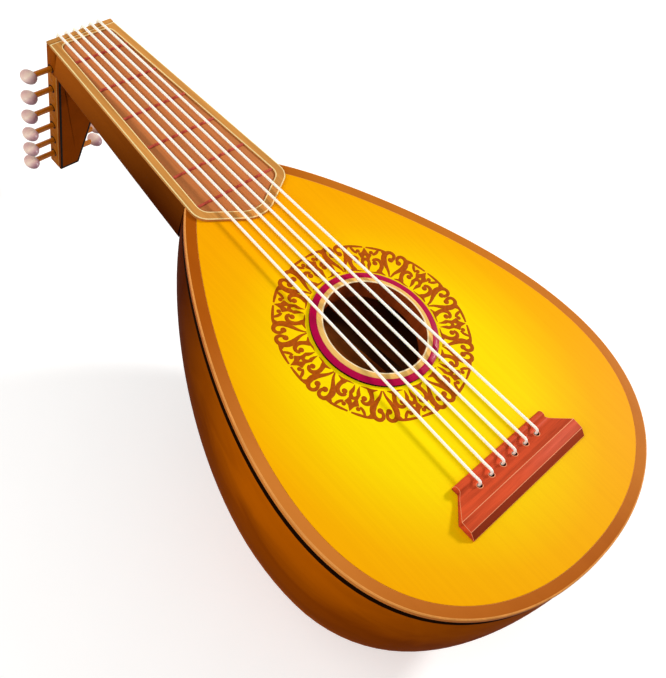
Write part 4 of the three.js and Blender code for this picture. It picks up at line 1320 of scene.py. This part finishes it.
class LUTE_OT_pegs(bpy.types.Operator):
    """Makes the twelve tuning pegs"""

    bl_idname = "lute.pegs"
    bl_label = "Pegs"

    def execute(self, context):
        shaft_wood = plain_wood(
            "peg_wood", colours().peg, "X", 0.14, fineness=220, coat=0.5, roughness=0.3)
        pearl = pearl_finish()
        for side, sign in (("bass", -1), ("treble", 1)):
            for number in PEG_NUMBERS:
                name = f"peg_{side}_{number}"
                self.make_shaft(name, sign, shaft_wood)
                self.make_head(name, sign, pearl)
        return {"FINISHED"}

    def make_shaft(self, name, sign, material):
        low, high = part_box(f"{name}_shaft")
        start, end = (high.x, low.x) if sign > 0 else (-low.x, -high.x)
        end += 0.8 * MM
        radius = (high.z - low.z) / 2
        far = radius * SHAFT_TAPER
        profile = [
            (start, 0), (start, radius * 0.8), (start - 0.3 * MM, radius),
            (end + 0.8 * MM, far), (end + 0.2 * MM, far * 0.85), (end, far * 0.5), (end, 0)]
        shaft = turned(profile, on_shaft(name, 0), (sign, 0, 0), 40)
        finished(f"{name}_turned", shaft, [material], (f"{name}_shaft",), name)

    def make_head(self, name, sign, material):
        low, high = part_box(f"{name}_head")
        half = (high - low) / 2 * HEAD_FIT
        bm = bmesh.new()
        bmesh.ops.create_uvsphere(bm, u_segments=48, v_segments=32, radius=1.0)
        tail_side = bm.verts.layers.float.new("tail_side")
        for vert in bm.verts:
            vert[tail_side] = vert.co.dot(HEAD_SHADE_WAY)
            slim = 1 - HEAD_TAPER * max(0.0, -sign * vert.co.x)
            vert.co = Vector((vert.co.x * half.x, vert.co.y * half.y * slim,
                              vert.co.z * half.z * slim * HEAD_FLATNESS))
        bmesh.ops.rotate(bm, verts=bm.verts, cent=(0, 0, 0),
                         matrix=Matrix.Rotation(PEGBOX_LEAN, 3, "X"))
        bmesh.ops.translate(bm, verts=bm.verts, vec=(low + high) / 2)
        finished(
            f"{name}_pebble", bm, [material], (f"{name}_head",), name, sharp=60)


class LUTE_OT_bridge(bpy.types.Operator):
    """Makes the bridge and the painted highlight rims of its string holes"""

    bl_idname = "lute.bridge"
    bl_label = "Bridge"

    def execute(self, context):
        tints = colours()
        red = plain_wood("bridge_wood", tints.bridge, "X", 0.42, fineness=170)
        light = plain_wood("bridge_edge_wood", tints.bridge_edge_highlight, "X", 0.12)
        # Painted shade: a darker copy of the bridge wood for its tail face
        dark = plain_wood("bridge_tail_wood", shaded(tints.bridge, 0.5), "X", 0.2)
        places = [self.hole_place(index) for index in range(STRING_COUNT)]
        bm = drilled(self.shape(), repeated(HOLE_DRILL, places))
        bridge = finished(
            "bridge_finished", bm, [red, light, dark], ("bridge",), sharp=30)
        # Painted shade on the tail face, which faces away from the light
        paint_faces(bridge, 2, lambda face: face.normal.y < -0.5 and face.material_index == 0
                    and face.center.y < BELLY.y - BRIDGE_ROLL_BEHIND - 20 * MM)
        # Pale rims of painted highlight round the string holes
        finished("string_hole_rims", repeated(HOLE_RIM_HIGHLIGHT, places), [light])
        # Dark discs of painted shade inside the string holes
        finished("string_hole_linings", repeated(HOLE_SHADE_DISC, places), [
            painted("string_hole_dark", tints.string_hole, roughness=0.7)])
        return {"FINISHED"}

    def shape(self):
        """The body of the bridge: its profile drawn out from -1 to 1, then to the real width."""
        bm = bmesh.new()
        corners = [bm.verts.new((-1, -BRIDGE_ROLL_BEHIND - behind * MM, height * MM))
                   for behind, height in BRIDGE_PROFILE]
        side = bm.faces.new(corners)
        grown = bmesh.ops.extrude_face_region(bm, geom=[side])["geom"]
        bmesh.ops.translate(bm, vec=(2, 0, 0), verts=only(grown, bmesh.types.BMVert))
        for behind in (BRIDGE_WAIST_BEHIND, BRIDGE_RIDGE_BEHIND):
            sliced(bm, (0, -BRIDGE_ROLL_BEHIND - behind, 0), (0, 1, 0))
        for vert in bm.verts:
            behind = -vert.co.y - BRIDGE_ROLL_BEHIND
            share = (behind - BRIDGE_WAIST_BEHIND) / (BRIDGE_RIDGE_BEHIND - BRIDGE_WAIST_BEHIND)
            vert.co.x *= blend(BRIDGE_ROLL_HALF_WIDTH, BRIDGE_HALF_WIDTH, max(0, min(1, share)))
        bmesh.ops.translate(bm, verts=bm.verts, vec=BELLY)
        bmesh.ops.recalc_face_normals(bm, faces=bm.faces)
        foot = BELLY.z + 0.8 * MM
        plate = BELLY.y - BRIDGE_ROLL_BEHIND - BRIDGE_RIDGE_BEHIND + 1 * MM

        def shows(edge):
            low, back = (min(getattr(vert.co, axis) for vert in edge.verts) for axis in "zy")
            at_end = any(abs(face.normal.x) > 0.5 for face in edge.link_faces)
            return low > foot and (at_end or back < plate)

        # Painted highlight on the rounded edges that show
        rounded(bm, sharp_edges(bm, 8, shows), 0.55 * MM, 2, 1)
        return bm

    def hole_place(self, index):
        """The middle of a hole's mouth, a little behind the string, and the way it faces."""
        x = (index - (STRING_COUNT - 1) / 2) * STRING_BRIDGE_SPACING
        return BELLY + Vector((x, -BRIDGE_HOLE_BEHIND, BRIDGE_THROAT_TOP)) + HOLE_SHIFT, HOLE_WAY


class LUTE_OT_strings(bpy.types.Operator):
    """Makes the six strings and their turns on the pegs"""

    bl_idname = "lute.strings"
    bl_label = "Strings"

    def execute(self, context):
        material = string_finish()
        for index in range(STRING_COUNT):
            node = f"string_{index + 1}"
            side, number, way, turns = STRING_PEGS[index]
            self.make_cord(f"{node}_gut", self.route(index), material, (node,), "lute")
            self.make_cord(f"{node}_turns", self.winding(index, way, turns), material, (),
                           f"peg_{side}_{number}")
        return {"FINISHED"}

    def make_cord(self, name, points, material, replaces, body):
        data = cord_curve(name, sizes().string, 3, 6)
        add_line(data, points, [1.0] * len(points))
        from_curve(name, data, material, replaces, body)

    def peg_place(self, index):
        """Where a string first touches its peg, the peg's middle there, and how far they are."""
        side, number, _, _ = STRING_PEGS[index]
        low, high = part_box(f"peg_{side}_{number}_shaft")
        x = BELLY.x + (index - (STRING_COUNT - 1) / 2) * STRING_NUT_SPACING
        middle = on_shaft(f"peg_{side}_{number}", x)
        reach = (high.z - low.z) / 2 + sizes().string + 0.05 * MM
        return middle + Vector((0, reach, 0)), middle, reach

    def winding(self, index, way, turns):
        """The turns of a string round its peg, side by side, from where the string ends."""
        _, middle, reach = self.peg_place(index)
        points = []
        for step in range(round(turns * WINDING_STEPS) + 1):
            turn = 2 * math.pi * step / WINDING_STEPS
            shift = way * WINDING_PITCH * sizes().string * turn / (2 * math.pi)
            points.append(middle + Vector((
                shift, reach * math.cos(turn), -reach * math.sin(turn))))
        return points

    def route(self, index):
        """From the hole in the bridge over its roll, over the nut and down to the peg."""
        share = index - (STRING_COUNT - 1) / 2
        at_bridge, at_nut = share * STRING_BRIDGE_SPACING, share * STRING_NUT_SPACING
        clear = sizes().string
        points = [Vector((at_bridge, -BRIDGE_HOLE_BEHIND + ahead * MM, height * MM))
                  for ahead, height in STRING_HOOK]
        roll = Vector((at_bridge, -BRIDGE_ROLL_BEHIND, BRIDGE_ROLL_TOP + clear))
        bend = [Vector((at_nut, HEAD_Y + ahead * MM, NUT_TOP + clear + height * MM))
                for ahead, height in STRING_BEND]
        peg = self.peg_place(index)[0] - BELLY
        points += [roll, *(roll.lerp(bend[0], part) for part in (0.01, 0.33, 0.66, 0.99)),
                   *bend, *(bend[-1].lerp(peg, part) for part in (0.05, 0.5, 1.0))]
        return [BELLY + point for point in points]


class LUTE_OT_stage(bpy.types.Operator):
    """Makes the floor, the lights, the pale surroundings and the camera"""

    bl_idname = "lute.stage"
    bl_label = "Stage"

    def execute(self, context):
        self.make_floor()
        self.make_surroundings()
        look = sizes()
        self.make_light("key_light", KEY_LIGHT_PLACE, look.key_power, KEY_LIGHT_SIZE)
        self.make_light("fill_light", FILL_LIGHT_PLACE, look.fill_power, FILL_LIGHT_SIZE)
        self.make_hole_light(look.hole_power)
        self.make_camera()
        context.scene.view_settings.view_transform = "Standard"
        return {"FINISHED"}

    def make_floor(self):
        bm = bmesh.new()
        bmesh.ops.create_circle(bm, cap_ends=True, segments=96, radius=FLOOR_RADIUS)
        floor = added("floor", meshed("floor", bm))
        floor.data.materials.append(self.floor_finish())

    def floor_finish(self):
        """Pale paint that the camera sees a little brighter, with the object's shadow on it."""
        finish = Finish("floor_paint")
        tint = colours().floor
        cloud = finish.noise(finish.place, 20)
        shade = finish.ramp(cloud, [(0.35, shaded(tint, 0.99)), (0.65, tint)])
        seen = finish.add("ShaderNodeLightPath").outputs["Is Camera Ray"]
        far = finish.spread(finish.distance(finish.place), *FLOOR_GLOW_REACH, *FLOOR_GLOW)
        finish.shader.inputs["Emission Color"].default_value = (1, 1, 1, 1)
        finish.join(
            finish.reckon("MULTIPLY", seen, far), finish.shader.inputs["Emission Strength"])
        return finish.surface(shade, 0.8)

    def make_surroundings(self):
        """A pale room: white where the camera or a reflection sees it, softer as a light."""
        world = bpy.data.worlds.new("pale_room")
        bpy.context.scene.world = world
        world.use_nodes = True
        tree = world.node_tree
        background = tree.nodes["Background"]
        background.inputs["Color"].default_value = (1, 1, 1, 1)
        path = tree.nodes.new("ShaderNodeLightPath")
        seen = path.outputs["Is Camera Ray"]
        for kind in ("Is Glossy Ray", "Is Transmission Ray"):
            either = tree.nodes.new("ShaderNodeMath")
            either.operation = "MAXIMUM"
            tree.links.new(seen, either.inputs[0])
            tree.links.new(path.outputs[kind], either.inputs[1])
            seen = either.outputs[0]
        level = tree.nodes.new("ShaderNodeMapRange")
        tree.links.new(seen, level.inputs["Value"])
        level.inputs["To Min"].default_value = ROOM_LIGHT
        level.inputs["To Max"].default_value = 1.0
        tree.links.new(level.outputs["Result"], background.inputs["Strength"])

    def make_light(self, name, place, power, size):
        data = bpy.data.lights.new(name, "AREA")
        data.energy = power
        data.size = size
        self.hang(data, place, LIGHTS_AIM)

    def make_hole_light(self, power):
        """A narrow light that falls through the soundhole on the ribs below."""
        data = bpy.data.lights.new("hole_light", "SPOT")
        data.energy = power
        data.spot_size = math.radians(HOLE_LIGHT_ANGLE)
        data.spot_blend = 0.25
        data.shadow_soft_size = 0.05
        self.hang(data, HOLE_LIGHT_PLACE, BELLY)

    def hang(self, data, place, aim):
        """Puts a light at its place, turned to what it shines on."""
        light = added(data.name, data)
        light.location = place
        light.rotation_euler = (aim - light.location).to_track_quat("-Z", "Y").to_euler()

    def make_camera(self):
        azimuth, elevation, roll = (
            math.radians(angle) for angle in (CAMERA_AZIMUTH, CAMERA_ELEVATION, CAMERA_ROLL))
        back = Vector((math.sin(azimuth) * math.cos(elevation),
                       -math.cos(azimuth) * math.cos(elevation), math.sin(elevation)))
        level_right = UP.cross(back).normalized()
        level_up = back.cross(level_right)
        right = level_right * math.cos(roll) + level_up * math.sin(roll)
        up = level_up * math.cos(roll) - level_right * math.sin(roll)
        data = bpy.data.cameras.new("camera")
        data.lens = CAMERA_LENS
        data.sensor_width = SENSOR_WIDTH
        data.clip_start = 0.01
        camera = added("camera", data)
        turn = Matrix((right, up, back)).transposed().to_4x4()
        camera.matrix_world = Matrix.Translation(CAMERA_PLACE) @ turn
        bpy.context.scene.camera = camera


STEPS = [
    LUTE_OT_belly, LUTE_OT_bowl, LUTE_OT_soundhole, LUTE_OT_ornament, LUTE_OT_neck,
    LUTE_OT_pegbox, LUTE_OT_pegs, LUTE_OT_bridge, LUTE_OT_strings, LUTE_OT_stage]


class LUTE_PT_panel(bpy.types.Panel):
    """Lists the steps that dress the lute, with its sizes and colours"""

    bl_idname = "LUTE_PT_panel"
    bl_label = "Lute"
    bl_space_type = "VIEW_3D"
    bl_region_type = "UI"
    bl_category = "Lute"

    def draw(self, context):
        layout = self.layout
        for step in STEPS:
            layout.operator(step.bl_idname)
        for group in (context.scene.lute_sizes, context.scene.lute_colours):
            column = layout.column()
            for name in group.__annotations__:
                column.prop(group, name)


CLASSES = [LuteSizes, LuteColours, *STEPS, LUTE_PT_panel]


def register():
    for item in CLASSES:
        bpy.utils.register_class(item)
    bpy.types.Scene.lute_sizes = PointerProperty(type=LuteSizes)
    bpy.types.Scene.lute_colours = PointerProperty(type=LuteColours)


def unregister():
    del bpy.types.Scene.lute_colours
    del bpy.types.Scene.lute_sizes
    for item in reversed(CLASSES):
        bpy.utils.unregister_class(item)


def main():
    register()
    bpy.ops.lute.belly()
    bpy.ops.lute.bowl()
    bpy.ops.lute.soundhole()
    bpy.ops.lute.ornament()
    bpy.ops.lute.neck()
    bpy.ops.lute.pegbox()
    bpy.ops.lute.pegs()
    bpy.ops.lute.bridge()
    bpy.ops.lute.strings()
    bpy.ops.lute.stage()


if __name__ == "__main__":
    main()
